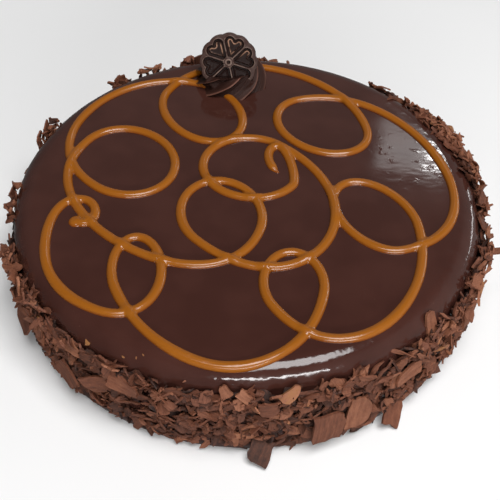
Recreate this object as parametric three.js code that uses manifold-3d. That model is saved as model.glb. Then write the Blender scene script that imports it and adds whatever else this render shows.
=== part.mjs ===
// A round glazed torte. One long line of piped caramel loops over its dark top, chocolate shavings
// cover its side, and a piped rosette at the back of the top holds a moulded chocolate disc.
//
// Millimetres, +Z up. The origin is the middle of the base, -Y is the front of the cake, and angles
// round it are in degrees from +X, counter-clockwise seen from above.

import * as THREE from 'three';
import { mergeVertices } from 'three/addons/utils/BufferGeometryUtils.js';
import Module from 'manifold-3d';

const wasm = await Module();
wasm.setup();

const DEGREE = Math.PI / 180;
const CLEARANCE = 0.3;

// ---------------------------------------------------------------- driving dimensions

const CAKE = {
  radius: 115,
  height: 53.3,
  shoulder: 10.8,
  coatRadius: 116.3,
  coatTop: 37,
  segments: 60,
  shoulderSteps: 4,
};

const CARAMEL = { width: 4.5, rise: 2.2, sunk: 0.4, sides: 6, step: 7.6 };
const CARAMEL_START = { middle: [-81, -26.8], radius: 3.3, rise: 2.1 };

// The loops of the caramel in the order they were piped. Each is part of an ellipse: its middle, its
// two radii, the turn of its first axis, and the angles at which the line enters and leaves it.
const CARAMEL_LOOPS = [
  { middle: [-78.8, -19.6], radii: [8.4, 5.9], turn: -73, enter: -43, leave: 158 },
  { middle: [-8.2, -13.3], radii: [92.6, 64.1], turn: 32, enter: 176, leave: 205 },
  { middle: [-49.5, -56.7], radii: [20.5, 11.2], turn: -84, enter: 60, leave: 300 },
  { middle: [21.6, -63.3], radii: [19.3, 13.6], turn: -87, enter: 71, leave: 309 },
  { middle: [61.9, -18.3], radii: [25.8, 16.7], turn: -57, enter: 53, leave: 348 },
  { middle: [38.9, 49.4], radii: [26.1, 20.3], turn: -40, enter: 154, leave: 402 },
  { middle: [-25.2, 59.3], radii: [27.3, 19.1], turn: -57, enter: -157, leave: 141 },
  { middle: [-61.7, 17.7], radii: [26.7, 23.3], turn: -49, enter: -77, leave: 193 },
  { middle: [-12.3, -19.5], radii: [23.8, 19.3], turn: -74, enter: 54, leave: 304 },
  { middle: [1.7, 14.8], radii: [24.6, 22.7], turn: -18, enter: 68, leave: 344 },
  { middle: [17.8, 20.1], radii: [11.8, 6.8], turn: 108, enter: -8, leave: 139 },
];

// How far the line swings out between each loop and the next, as a share of the straight distance.
const CARAMEL_SWINGS = [1.11, 1.42, 1.84, 1.82, 1.58, 1.42, 1.62, 1.79, 2.7, 0.53];

const SHAVINGS = {
  seed: 4131,
  rows: 5,
  columns: 30,
  cell: [0.2, 0.8],
  bottom: 3.5,
  top: 43,
  length: [7, 15],
  width: [3.5, 7],
  thickness: [0.9, 1.4],
  lift: [-0.6, 1.8],
  reach: 8,
  turn: [-75, 75],
  tip: [-30, 36],
  swing: [-25, 25],
  twist: [-0.07, 0.11],
  taper: [0, 0.35],
  raggedEnd: 0.07,
  raggedSide: 0.11,
};

// Single shavings that stand out: angle round the cake, height, lift off the coat, length and width,
// turn of the length in the side's own plane, and how far its face tips up and swings aside.
const LARGE_SHAVINGS = [
  { angle: -72.2, height: 18.8, lift: 0.6, size: [15, 15], turn: 4, tip: 4, swing: 4 },
  { angle: -65.8, height: 21.5, lift: 1.4, size: [18, 13], turn: 80, tip: -4, swing: -8 },
  { angle: -86.1, height: 6.5, lift: 3.4, size: [13, 11], turn: 14, tip: -52, swing: 0 },
  { angle: -55.6, height: 6, lift: 3, size: [13, 10], turn: 52, tip: -48, swing: 10 },
  { angle: -80.4, height: 43.1, lift: 0.4, size: [11, 5.5], turn: 40, tip: 24, swing: 0 },
  { angle: -89.7, height: 43.6, lift: 0.6, size: [9, 5], turn: -40, tip: 18, swing: 0 },
  { angle: -93.8, height: 44.6, lift: -0.6, size: [6, 3.5], turn: -60, tip: 14, swing: 0 },
  { angle: -84.9, height: 36.5, lift: 0.7, size: [8, 7], turn: 0, tip: 8, swing: 0 },
  { angle: -52.9, height: 31.9, lift: 1.2, size: [14, 6], turn: 10, tip: 30, swing: 0 },
  { angle: -44.2, height: 46, lift: -2.4, size: [13, 6.5], turn: 84, tip: 30, swing: 0 },
  { angle: -122.3, height: 28, lift: 1.4, size: [13, 9], turn: 30, tip: 10, swing: 6 },
  { angle: -115.5, height: 36.1, lift: 1.0, size: [15, 8], turn: -10, tip: 14, swing: 0 },
  { angle: -131.7, height: 18.2, lift: 1.4, size: [14, 9], turn: -34, tip: 6, swing: 0 },
  { angle: -151, height: 18, lift: 2.2, size: [15, 9], turn: -16, tip: -28, swing: 0 },
  { angle: -145.7, height: 40, lift: 0.6, size: [12, 6], turn: 62, tip: 12, swing: 0 },
  { angle: -164, height: 38, lift: 3.4, size: [13, 3.5], turn: 30, tip: 4, swing: 70 },
  { angle: -12.5, height: 38.5, lift: 5, size: [14, 4], turn: 6, tip: 8, swing: -80 },
  { angle: -29, height: 29, lift: 1.6, size: [14, 8], turn: 70, tip: 6, swing: -12 },
  { angle: 5, height: 42, lift: 1.8, size: [13, 6], turn: 60, tip: 26, swing: 12 },
  { angle: 16, height: 42, lift: 1.2, size: [16, 9], turn: 70, tip: 30, swing: 10 },
  { angle: 27, height: 43.5, lift: 1.4, size: [15, 10], turn: 12, tip: 34, swing: 0 },
  { angle: 34, height: 46, lift: 0.6, size: [13, 4], turn: 4, tip: 40, swing: 0 },
  { angle: 51.6, height: 44.5, lift: 0.8, size: [15, 8], turn: -6, tip: 22, swing: 0 },
  { angle: 92, height: 34, lift: 3.4, size: [12, 8], turn: -10, tip: 48, swing: 10 },
  { angle: 104, height: 46, lift: 0.4, size: [13, 8], turn: 82, tip: 6, swing: 0 },
  { angle: 107, height: 45.5, lift: 1.6, size: [12, 6], turn: 70, tip: 2, swing: 0 },
  { angle: 128, height: 44.5, lift: 0.8, size: [13, 7], turn: 76, tip: 8, swing: 0 },
  { angle: 151, height: 45, lift: 6, size: [17, 3], turn: 24, tip: 10, swing: 66 },
  { angle: 178, height: 36, lift: 3.4, size: [12, 5], turn: 24, tip: 6, swing: 64 },
];

const ROSETTE = {
  middle: [-10.5, 89.5],
  radius: 21.4,
  height: 18.5,
  below: 5,
  ridges: [-150, -90, -48, -6, 36, 78, 126, 168],
  ridgeDepth: 0.12,
  ridgeWidth: 0.7,
  roundness: 2.2,
  narrowing: 0.12,
  twist: 132,
  around: 60,
  rings: 9,
  viewRadius: 30,
  viewAside: -2,
  coverDepth: 9.1,
};

const DISC = {
  middle: [-11.6, 83.8, 68.5],
  radius: 15.8,
  thickness: 4.2,
  bevel: 0.5,
  lean: 30,
  turn: 4,
  spin: 16,
  scallops: 12,
  scallopDepth: 0.7,
  pocketDepth: 2.1,
  hearts: 6,
  heartNear: 3,
  lobeRadius: 2.7,
  lobeMiddle: [10.8, 2.48],
  lobeSteps: 6,
  spoke: 1.1,
  innerInset: 1.3,
  innerRise: 0.9,
  hubRadius: 2.5,
  hubRise: 0.7,
};

const COLOURS = { cake: 0x46281f, rosette: 0x3a241f, disc: 0x2d2321 };

// ---------------------------------------------------------------- solids

// A closed geometry as a solid that can be joined and cut.
function solidOf(geometry) {
  const bare = geometry.clone();
  bare.deleteAttribute('normal');
  bare.deleteAttribute('uv');
  const merged = mergeVertices(bare, 1e-4);
  const corners = merged.index.array;
  const triVerts = [];
  for (let i = 0; i < corners.length; i += 3) {
    const [a, b, c] = corners.slice(i, i + 3);
    if (a !== b && b !== c && c !== a) triVerts.push(a, b, c);
  }
  const vertProperties = new Float32Array(merged.attributes.position.array);
  const mesh = new wasm.Mesh({ numProp: 3, vertProperties, triVerts: new Uint32Array(triVerts) });
  return new wasm.Manifold(mesh);
}

// Joins solids in pairs, then pairs of pairs, until one is left.
function join(solids) {
  if (solids.length === 1) return solids[0];
  const half = Math.ceil(solids.length / 2);
  return join(solids.slice(0, half)).add(join(solids.slice(half)));
}

// The largest connected body of a solid: loose scraps and sealed hollows are dropped.
function mainBody(solid) {
  const bodies = solid.decompose();
  return bodies.reduce((best, body) => (body.volume() > best.volume() ? body : best));
}

function meshOf(name, solid, colour, roughness) {
  const { vertProperties, triVerts } = mainBody(solid).getMesh();
  const geometry = new THREE.BufferGeometry();
  geometry.setAttribute('position', new THREE.BufferAttribute(vertProperties, 3));
  geometry.setIndex(new THREE.BufferAttribute(triVerts, 1));
  geometry.computeVertexNormals();
  const material = new THREE.MeshStandardMaterial({ color: colour, roughness, metalness: 0 });
  const mesh = new THREE.Mesh(geometry, material);
  mesh.name = name;
  return mesh;
}

// Moves every vertex of a geometry to the place that a function gives for it.
function reshape(geometry, place) {
  const position = geometry.attributes.position;
  const point = new THREE.Vector3();
  for (let i = 0; i < position.count; i += 1) {
    point.fromBufferAttribute(position, i);
    place(point, i);
    position.setXYZ(i, point.x, point.y, point.z);
  }
  return geometry;
}

// A solid of revolution round +Z from a profile of [radius, height] pairs.
function turned(profile, segments) {
  const points = profile.map(([radius, height]) => new THREE.Vector2(radius, height));
  return new THREE.LatheGeometry(points, segments).rotateX(Math.PI / 2);
}

// ---------------------------------------------------------------- cake body

// Height of the glaze at a distance from the axis: flat, then round over the shoulder.
function glazeHeight(distance) {
  const over = Math.max(0, distance - (CAKE.radius - CAKE.shoulder));
  const drop = CAKE.shoulder - Math.sqrt(Math.max(0, CAKE.shoulder ** 2 - over ** 2));
  return CAKE.height - drop;
}

// The cake's profile, made larger all over by the given margin.
function cakeProfile(margin) {
  const coat = CAKE.coatRadius + margin;
  const round = CAKE.shoulder + margin;
  const profile = [[0, -margin], [coat, -margin], [coat, CAKE.coatTop]];
  for (let step = 0; step <= CAKE.shoulderSteps; step += 1) {
    const angle = (step / CAKE.shoulderSteps) * (Math.PI / 2);
    const radius = CAKE.radius - CAKE.shoulder + round * Math.cos(angle);
    profile.push([radius, CAKE.height - CAKE.shoulder + round * Math.sin(angle)]);
  }
  profile.push([0, CAKE.height + margin]);
  return profile;
}

// ---------------------------------------------------------------- caramel line

// The arc of one loop between two of its angles.
function loopArc(loop, from, to) {
  const [x, y] = loop.middle;
  const [long, short] = loop.radii;
  const start = from * DEGREE;
  return new THREE.EllipseCurve(x, y, long, short, start, to * DEGREE, false, loop.turn * DEGREE);
}

// The swing of the line from the end of one arc to the start of the next, tangent to both.
function swingBetween(before, after, swing) {
  const start = before.getPoint(1);
  const end = after.getPoint(0);
  const reach = (start.distanceTo(end) * swing) / 3;
  const leaving = before.getTangent(1).multiplyScalar(reach).add(start);
  const arriving = after.getTangent(0).multiplyScalar(-reach).add(end);
  return new THREE.CubicBezierCurve(start, leaving, arriving, end);
}

// A plan curve laid on the glaze.
class LineOnGlaze extends THREE.Curve {
  constructor(plan) {
    super();
    this.plan = plan;
  }

  getPoint(t, target = new THREE.Vector3()) {
    const { x, y } = this.plan.getPoint(t);
    return target.set(x, y, glazeHeight(Math.hypot(x, y)) - CARAMEL.sunk);
  }
}

// The plan of one stretch: half of a loop, the swing to the next loop, and half of that one. No
// stretch crosses itself, although the whole line crosses itself at every loop.
function stretchPlan(index) {
  const loop = CARAMEL_LOOPS[index];
  const next = CARAMEL_LOOPS[index + 1];
  const isFirst = index === 0;
  const isLast = index === CARAMEL_LOOPS.length - 2;
  const start = isFirst ? loop.enter : (loop.enter + loop.leave) / 2;
  const end = isLast ? next.leave : (next.enter + next.leave) / 2;
  const before = loopArc(loop, start, loop.leave);
  const after = loopArc(next, next.enter, end);
  const plan = new THREE.CurvePath();
  plan.add(before);
  plan.add(swingBetween(before, after, CARAMEL_SWINGS[index]));
  plan.add(after);
  return plan;
}

function caramelSection() {
  const section = new THREE.Shape();
  for (let side = 0; side < CARAMEL.sides; side += 1) {
    const angle = (side / CARAMEL.sides) * 2 * Math.PI;
    const up = CARAMEL.rise * Math.sin(angle);
    const across = (CARAMEL.width / 2) * Math.cos(angle);
    if (side === 0) section.moveTo(up, across);
    else section.lineTo(up, across);
  }
  section.closePath();
  return section;
}

// The blob of caramel where the line starts.
function caramelStart() {
  const [x, y] = CARAMEL_START.middle;
  const blob = new THREE.SphereGeometry(CARAMEL_START.radius, 10, 6).rotateX(Math.PI / 2);
  blob.scale(1, 1, CARAMEL_START.rise / CARAMEL_START.radius);
  return solidOf(blob.translate(x, y, glazeHeight(Math.hypot(x, y)) - CARAMEL.sunk));
}

function caramelLine() {
  const section = caramelSection();
  const pieces = [caramelStart()];
  for (let index = 0; index < CARAMEL_LOOPS.length - 1; index += 1) {
    const path = new LineOnGlaze(stretchPlan(index));
    const steps = Math.round(path.getLength() / CARAMEL.step);
    pieces.push(solidOf(new THREE.ExtrudeGeometry(section, { extrudePath: path, steps })));
  }
  return pieces;
}

// ---------------------------------------------------------------- shavings on the side

// A repeatable stream of numbers from 0 to 1.
function seededRandom(seed) {
  let state = seed;
  return () => {
    state = (state + 0x6d2b79f5) | 0;
    let mixed = Math.imul(state ^ (state >>> 15), 1 | state);
    mixed = (mixed + Math.imul(mixed ^ (mixed >>> 7), 61 | mixed)) ^ mixed;
    return ((mixed ^ (mixed >>> 14)) >>> 0) / 4294967296;
  };
}

function between([low, high], random) {
  return low + (high - low) * random();
}

// A thin twisted plate with uneven corners, lying in the XY plane.
function shavingGeometry([length, width], thickness, random) {
  const box = new THREE.BoxGeometry(length, width, thickness);
  box.deleteAttribute('normal');
  box.deleteAttribute('uv');
  const twist = between(SHAVINGS.twist, random) * length;
  const taper = between(SHAVINGS.taper, random);
  const end = SHAVINGS.raggedEnd * length;
  const side = SHAVINGS.raggedSide * width;
  return reshape(mergeVertices(box), (point) => {
    const along = (2 * point.x) / length;
    const across = (2 * point.y) / width;
    point.y *= 1 - (taper * (along + 1)) / 2;
    point.x += between([-end, end], random);
    point.y += between([-side, side], random);
    point.z += twist * along * across;
  });
}

// Puts a plate on the side of the cake: its length along the side and its face outwards, then turned,
// tipped and swung. What would reach below the base is raised.
function placeOnSide(geometry, { angle, height, lift, turn, tip, swing }) {
  const tilt = new THREE.Euler(tip * DEGREE, swing * DEGREE, turn * DEGREE);
  const outward = new THREE.Vector3(Math.cos(angle * DEGREE), Math.sin(angle * DEGREE), 0);
  const up = new THREE.Vector3(0, 0, 1);
  const along = up.clone().cross(outward);
  const place = new THREE.Matrix4().makeBasis(along, up, outward);
  place.setPosition(outward.clone().multiplyScalar(CAKE.coatRadius + lift).setZ(height));
  geometry.applyMatrix4(place.multiply(new THREE.Matrix4().makeRotationFromEuler(tilt)));
  geometry.computeBoundingBox();
  return geometry.translate(0, 0, Math.max(0, CLEARANCE - geometry.boundingBox.min.z));
}

// Moves a plate straight back in where it reaches too far out.
function keptInReach(geometry, angle) {
  const furthest = new THREE.Vector3();
  reshape(geometry, (point) => {
    const distance = Math.hypot(point.x, point.y);
    if (distance > Math.hypot(furthest.x, furthest.y)) furthest.copy(point);
  });
  const limit = CAKE.coatRadius + SHAVINGS.reach;
  const back = Math.max(0, Math.hypot(furthest.x, furthest.y) - limit);
  return geometry.translate(-back * Math.cos(angle * DEGREE), -back * Math.sin(angle * DEGREE), 0);
}

// Rows of uneven shavings round the side, each in its own cell so that they spread evenly.
function scatteredShavings(random) {
  const shavings = [];
  for (let row = 0; row < SHAVINGS.rows; row += 1) {
    for (let column = 0; column < SHAVINGS.columns; column += 1) {
      const share = (row + between(SHAVINGS.cell, random)) / SHAVINGS.rows;
      const size = [between(SHAVINGS.length, random), between(SHAVINGS.width, random)];
      const plate = shavingGeometry(size, between(SHAVINGS.thickness, random), random);
      const place = column + (row % 2) / 2 + between(SHAVINGS.cell, random);
      const angle = (place / SHAVINGS.columns) * 360;
      const height = SHAVINGS.bottom + share * (SHAVINGS.top - SHAVINGS.bottom);
      const lift = between(SHAVINGS.lift, random);
      const turn = between(SHAVINGS.turn, random);
      const tip = between(SHAVINGS.tip, random);
      const swing = between(SHAVINGS.swing, random);
      placeOnSide(plate, { angle, height, lift, turn, tip, swing });
      shavings.push(keptInReach(plate, angle));
    }
  }
  return shavings;
}

function sideShavings() {
  const random = seededRandom(SHAVINGS.seed);
  const large = LARGE_SHAVINGS.map((shaving) => {
    const plate = shavingGeometry(shaving.size, SHAVINGS.thickness[1], random);
    return placeOnSide(plate, shaving);
  });
  return [...large, ...scatteredShavings(random)].map(solidOf);
}

// ---------------------------------------------------------------- rosette

// How deep the surface lies between two sharp ridges at an angle in degrees: 0 on a ridge, and 1
// halfway to the next.
function furrowAt(angle) {
  const { ridges } = ROSETTE;
  const passed = ridges.filter((ridge) => ridge <= angle + 1e-6).length;
  const before = passed === 0 ? ridges.at(-1) - 360 : ridges[passed - 1];
  const after = passed === ridges.length ? ridges[0] + 360 : ridges[passed];
  const share = (angle - before) / (after - before);
  return Math.abs(Math.sin(share * Math.PI)) ** ROSETTE.ridgeWidth;
}

// A mound of piped cream whose sharp ridges wind up to the top, made larger by the given margin.
function swirlGeometry(margin) {
  const floor = CAKE.height - ROSETTE.below;
  const rise = ROSETTE.height + ROSETTE.below + margin;
  const profile = [[0, 0]];
  for (let ring = 0; ring < ROSETTE.rings; ring += 1) {
    const share = ring / ROSETTE.rings;
    const round = Math.sqrt(1 - share ** ROSETTE.roundness);
    profile.push([round * (1 - ROSETTE.narrowing * share), share]);
  }
  profile.push([0, 1]);
  return reshape(turned(profile, ROSETTE.around), (point) => {
    const angle = Math.atan2(point.y, point.x) / DEGREE;
    const ridge = 1 - ROSETTE.ridgeDepth * furrowAt(angle);
    const distance = Math.hypot(point.x, point.y) * (ROSETTE.radius * ridge + margin);
    const wound = (angle + ROSETTE.twist * point.z) * DEGREE;
    point.x = ROSETTE.middle[0] + distance * Math.cos(wound);
    point.y = ROSETTE.middle[1] + distance * Math.sin(wound);
    point.z = floor + point.z * rise;
  });
}

// ---------------------------------------------------------------- moulded disc

// The scalloped outline of the disc, made larger by the given margin.
function discOutline(margin) {
  const outline = new THREE.Shape();
  const samples = DISC.scallops * 4;
  for (let i = 0; i < samples; i += 1) {
    const angle = (i / samples) * 2 * Math.PI;
    const lobe = Math.abs(Math.sin((DISC.scallops / 2) * angle));
    const radius = DISC.radius - DISC.bevel - DISC.scallopDepth * (1 - lobe) + margin;
    if (i === 0) outline.moveTo(radius, 0);
    else outline.lineTo(radius * Math.cos(angle), radius * Math.sin(angle));
  }
  outline.closePath();
  return outline;
}

// One heart between two spokes, its point towards the hub, made smaller by the given inset. Its sides
// run along the spokes and end in two round lobes.
function heartOutline(index, inset) {
  const [along, across] = DISC.lobeMiddle;
  const half = Math.PI / DISC.hearts;
  const near = DISC.heartNear + inset;
  const side = (near * Math.sin(half) - DISC.spoke / 2 - inset) / Math.cos(half);
  const radius = DISC.lobeRadius - inset;
  const cleft = Math.acos(Math.min(1, across / radius));
  const points = [[near, Math.max(side, 0)]];
  for (let step = 0; step <= DISC.lobeSteps; step += 1) {
    const angle = Math.PI / 2 + half - (step / DISC.lobeSteps) * (Math.PI + half - cleft);
    points.push([along + radius * Math.cos(angle), across + radius * Math.sin(angle)]);
  }
  const mirrored = points.map(([x, y]) => [x, -y]).reverse();
  const turn = (2 * index + 1) * half;
  const corners = [...points, ...mirrored].map(([x, y]) => {
    return new THREE.Vector2(x, y).rotateAround(new THREE.Vector2(), turn);
  });
  return new THREE.Shape(corners);
}

// A flat piece of the given outline between two heights.
function slab(outline, bottom, top) {
  const depth = top - bottom;
  return new THREE.ExtrudeGeometry(outline, { depth, bevelEnabled: false }).translate(0, 0, bottom);
}

// Stands a geometry that is drawn flat, face up and +Y at the top, where the disc stands.
function standUp(geometry) {
  geometry.rotateX((90 - DISC.lean) * DEGREE);
  geometry.rotateZ(-DISC.turn * DEGREE);
  return geometry.translate(...DISC.middle);
}

// Stands a piece of the disc, whose first spoke is drawn along +X.
function standDisc(geometry) {
  return standUp(geometry.rotateZ((90 + DISC.spin) * DEGREE));
}

// The disc: a scalloped plate with six heart-shaped pockets, a small heart in each, and a hub.
function discSolid() {
  const face = DISC.thickness / 2;
  const floor = face - DISC.pocketDepth;
  const plate = new THREE.ExtrudeGeometry(discOutline(0), {
    depth: DISC.thickness - 2 * DISC.bevel,
    bevelThickness: DISC.bevel,
    bevelSize: DISC.bevel,
    bevelSegments: 1,
  }).translate(0, 0, DISC.bevel - face);
  const parts = [];
  let disc = solidOf(standDisc(plate));
  for (let index = 0; index < DISC.hearts; index += 1) {
    disc = disc.subtract(solidOf(standDisc(slab(heartOutline(index, 0), floor, face + 1))));
    const inner = heartOutline(index, DISC.innerInset);
    parts.push(solidOf(standDisc(slab(inner, floor - 0.5, floor + DISC.innerRise))));
  }
  const hub = new THREE.SphereGeometry(DISC.hubRadius, 14, 8);
  hub.scale(1, 1, DISC.hubRise / DISC.hubRadius).translate(0, 0, face);
  return join([disc, ...parts, solidOf(standDisc(hub))]);
}

// The room that the disc takes in the cream: its own slot, and an open space in front of it that
// leaves only the lower edge of its face covered.
function discRoom() {
  const half = DISC.thickness / 2 + CLEARANCE;
  const slot = slab(discOutline(DISC.bevel + CLEARANCE), -half, half);
  const { viewRadius, viewAside, coverDepth } = ROSETTE;
  const view = new THREE.Shape();
  view.absarc(viewAside, viewRadius - coverDepth, viewRadius, 0, 2 * Math.PI);
  const space = slab(view, half - CLEARANCE, half + ROSETTE.radius);
  return solidOf(standDisc(slot)).add(solidOf(standUp(space)));
}

// ---------------------------------------------------------------- the object

const body = solidOf(turned(cakeProfile(0), CAKE.segments));
const bodyRoom = solidOf(turned(cakeProfile(CLEARANCE), CAKE.segments));
const rosetteRoom = solidOf(swirlGeometry(CLEARANCE));
const caramel = join(caramelLine()).subtract(rosetteRoom);
const cake = join([body, caramel, ...sideShavings()]);
const rosette = solidOf(swirlGeometry(0)).subtract(bodyRoom).subtract(discRoom());

const torte = new THREE.Group();
torte.add(meshOf('cake', cake, COLOURS.cake, 0.35));
torte.add(meshOf('rosette', rosette, COLOURS.rosette, 0.6));
torte.add(meshOf('wheel', discSolid(), COLOURS.disc, 0.4));

export default torte;
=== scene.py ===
"""Salted caramel torte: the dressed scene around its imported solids.

The frame holds three solids: the cake, the rosette of piped cream and the moulded wheel that stands
in it. The classes below build the finer pieces that stand in for them, in metres and in the same
frame: +Z up, the origin in the middle of the base, -Y the front. Angles round the cake are degrees
from +X, counter-clockwise seen from above.
"""

import logging
import math
import random
from dataclasses import dataclass, field
from enum import Enum
from typing import Any, Callable, Iterator, Sequence

import bmesh
import bpy
from mathutils import Euler, Matrix, Vector, noise
from mathutils.kdtree import KDTree


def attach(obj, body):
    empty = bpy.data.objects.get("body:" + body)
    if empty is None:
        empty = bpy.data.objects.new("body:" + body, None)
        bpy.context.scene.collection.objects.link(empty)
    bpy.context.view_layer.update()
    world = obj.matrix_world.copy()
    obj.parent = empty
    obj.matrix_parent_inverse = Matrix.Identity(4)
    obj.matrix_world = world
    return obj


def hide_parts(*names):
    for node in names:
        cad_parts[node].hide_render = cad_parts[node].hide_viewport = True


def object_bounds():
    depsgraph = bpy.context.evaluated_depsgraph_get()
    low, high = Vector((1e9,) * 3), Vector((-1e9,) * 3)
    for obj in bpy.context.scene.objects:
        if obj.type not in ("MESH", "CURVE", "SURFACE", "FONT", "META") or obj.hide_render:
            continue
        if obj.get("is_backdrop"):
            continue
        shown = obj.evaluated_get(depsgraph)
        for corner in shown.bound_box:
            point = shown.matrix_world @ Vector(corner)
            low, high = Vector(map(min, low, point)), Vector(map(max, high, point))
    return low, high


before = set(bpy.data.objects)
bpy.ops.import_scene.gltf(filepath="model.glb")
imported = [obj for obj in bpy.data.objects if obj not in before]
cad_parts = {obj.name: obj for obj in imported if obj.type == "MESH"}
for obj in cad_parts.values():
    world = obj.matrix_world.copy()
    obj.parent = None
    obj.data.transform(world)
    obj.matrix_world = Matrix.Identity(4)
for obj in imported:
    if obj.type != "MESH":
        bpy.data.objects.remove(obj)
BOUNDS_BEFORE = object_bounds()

logging.basicConfig(level=logging.INFO, format="%(message)s")
log = logging.getLogger("torte")

MM = 0.001
Pair = tuple[float, float]
Triple = tuple[float, float, float]
Colour = Triple


# ---------------------------------------------------------------- shader expressions


class Value:
    """A shader socket that takes part in Python arithmetic."""

    def __init__(self, graph: "Graph", socket: bpy.types.NodeSocket) -> None:
        """Wrap one output socket of a graph.

        Args:
            graph: the graph that new Math nodes are added to.
            socket: the output that this value stands for.
        """
        self.graph = graph
        self.socket = socket

    def math(self, operation: str, other: Any = None, swapped: bool = False) -> "Value":
        """Add a Math node.

        Args:
            operation: the node's operation.
            other: the second operand, where there is one.
            swapped: whether this value is the second operand.

        Returns:
            The node's result.
        """
        operands = [self] if other is None else [self, other]
        if swapped:
            operands.reverse()
        sockets = dict(enumerate(operands))
        return self.graph.value("Math", {"operation": operation}, sockets)

    def __add__(self, other: Any) -> "Value":
        """Sum."""
        return self.math("ADD", other)

    def __sub__(self, other: Any) -> "Value":
        """Difference."""
        return self.math("SUBTRACT", other)

    def __rsub__(self, other: Any) -> "Value":
        """Difference from a plain number."""
        return self.math("SUBTRACT", other, swapped=True)

    def __mul__(self, other: Any) -> "Value":
        """Product."""
        return self.math("MULTIPLY", other)

    def __pow__(self, other: Any) -> "Value":
        """Power."""
        return self.math("POWER", other)

    __radd__ = __add__
    __rmul__ = __mul__

    def ramp(self, low: float, high: float) -> "Value":
        """Rise smoothly from 0 at low to 1 at high.

        Args:
            low: where the result is 0.
            high: where the result is 1; it may lie below low.

        Returns:
            The share between the two.
        """
        settings = {"interpolation_type": "SMOOTHSTEP"}
        if high < low:
            return 1.0 - self.ramp(high, low)
        limits = {"Value": self, "From Min": low, "From Max": high}
        return self.graph.value("MapRange", settings, limits)


class Graph:
    """The node tree of one material or of the world."""

    def __init__(self, owner: bpy.types.ID) -> None:
        """Empty the tree of a new material or world.

        Args:
            owner: the material or world.
        """
        owner.use_nodes = True
        self.owner = owner
        self.tree = owner.node_tree
        self.tree.nodes.clear()
        coordinates = self.node("TexCoord").outputs
        self.place = coordinates["Object"]
        self.direction = coordinates["Generated"]

    @classmethod
    def of_material(cls, name: str) -> "Graph":
        """The empty graph of a new material."""
        return cls(bpy.data.materials.new(name))

    def node(self, kind: str, settings: dict | None = None, sockets: dict | None = None) -> Any:
        """Add one node.

        Args:
            kind: the node's type, without its ShaderNode prefix.
            settings: properties that are set first; "stops" are a ramp's places and colours.
            sockets: values or links for input sockets, by name or number.

        Returns:
            The new node.
        """
        made = self.tree.nodes.new("ShaderNode" + kind)
        for name, setting in (settings or {}).items():
            if name == "stops":
                self._set_stops(made.color_ramp.elements, setting)
            else:
                setattr(made, name, setting)
        for name, content in (sockets or {}).items():
            target = made.inputs[name]
            if isinstance(content, Value):
                self.tree.links.new(content.socket, target)
            elif isinstance(content, bpy.types.NodeSocket):
                self.tree.links.new(content, target)
            elif isinstance(content, tuple) and target.type == "RGBA":
                target.default_value = (*content, 1.0)
            else:
                target.default_value = content
        return made

    @staticmethod
    def _set_stops(elements: Any, stops: Sequence[tuple[float, Colour]]) -> None:
        """Give a colour ramp its stops.

        Args:
            elements: the ramp's elements.
            stops: places from 0 to 1 and their colours.
        """
        while len(elements) < len(stops):
            elements.new(1.0)
        for element, (place, colour) in zip(elements, stops):
            element.position = place
            element.color = (*colour, 1.0)

    def value(self, kind: str, settings: dict | None = None, sockets: dict | None = None) -> Value:
        """Add a node and wrap its first output."""
        return Value(self, self.node(kind, settings, sockets).outputs[0])

    def attribute(self, name: str) -> Value:
        """A number that the piece's mesh carries."""
        found = self.node("Attribute", {"attribute_name": name})
        return Value(self, found.outputs["Fac"])

    def vector(self, name: str) -> Any:
        """A vector that the piece's mesh carries."""
        return self.node("Attribute", {"attribute_name": name}).outputs["Vector"]

    def noise(self, scale: float, detail: float = 3.0, where: Any = None, rough: float = 0.5) -> Value:
        """Soft noise from 0 to 1.

        Args:
            scale: features per metre.
            detail: octaves.
            where: coordinates other than the object's own.
            rough: the strength of the finer octaves.

        Returns:
            The noise value.
        """
        place = self.place if where is None else where
        sockets = {"Vector": place, "Scale": scale, "Detail": detail, "Roughness": rough}
        return self.value("TexNoise", None, sockets)

    def stretched(self, scale: Triple) -> Any:
        """Object coordinates scaled apart on the three axes."""
        return self.node("Mapping", None, {"Vector": self.place, "Scale": scale}).outputs[0]

    def axes(self, vector: Any) -> tuple[Value, Value, Value]:
        """The three parts of a vector."""
        parts = self.node("SeparateXYZ", None, {0: vector}).outputs
        return Value(self, parts[0]), Value(self, parts[1]), Value(self, parts[2])

    def mix(self, share: Any, first: Any, second: Any) -> Any:
        """Blend two colours.

        Args:
            share: how much of the second.
            first: a colour or a colour socket.
            second: a colour or a colour socket.

        Returns:
            The blended colour's socket.
        """
        blend = self.node("Mix", {"data_type": "RGBA"}, {0: share, 6: first, 7: second})
        return blend.outputs[2]

    def colours(self, share: Value, stops: Sequence[tuple[float, Colour]]) -> Any:
        """The colour that a ramp gives for a value."""
        return self.node("ValToRGB", {"stops": stops}, {"Fac": share}).outputs["Color"]

    def bump(self, height: Value, distance: float, under: Any = None) -> Any:
        """Relief that changes the normal.

        Args:
            height: the relief from 0 to 1.
            distance: the relief's real height.
            under: the normal of a bump below this one.

        Returns:
            The normal's socket.
        """
        sockets = {"Height": height, "Distance": distance, "Strength": 1.0}
        if under is not None:
            sockets["Normal"] = under
        return self.node("Bump", None, sockets).outputs["Normal"]

    def surface(self, **sockets: Any) -> bpy.types.Material:
        """Close the graph with a Principled surface.

        Args:
            **sockets: its inputs, with underscores for spaces.

        Returns:
            The finished material.
        """
        named = {name.replace("_", " "): content for name, content in sockets.items()}
        shader = self.node("BsdfPrincipled", None, named)
        self.node("OutputMaterial", None, {"Surface": shader.outputs[0]})
        return self.owner

    def room(self, colour: Any) -> bpy.types.World:
        """Close the graph with a background of a colour, and return its world."""
        light = self.node("Background", None, {"Color": colour})
        self.node("OutputWorld", None, {"Surface": light.outputs[0]})
        return self.owner


# ---------------------------------------------------------------- finishes


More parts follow.
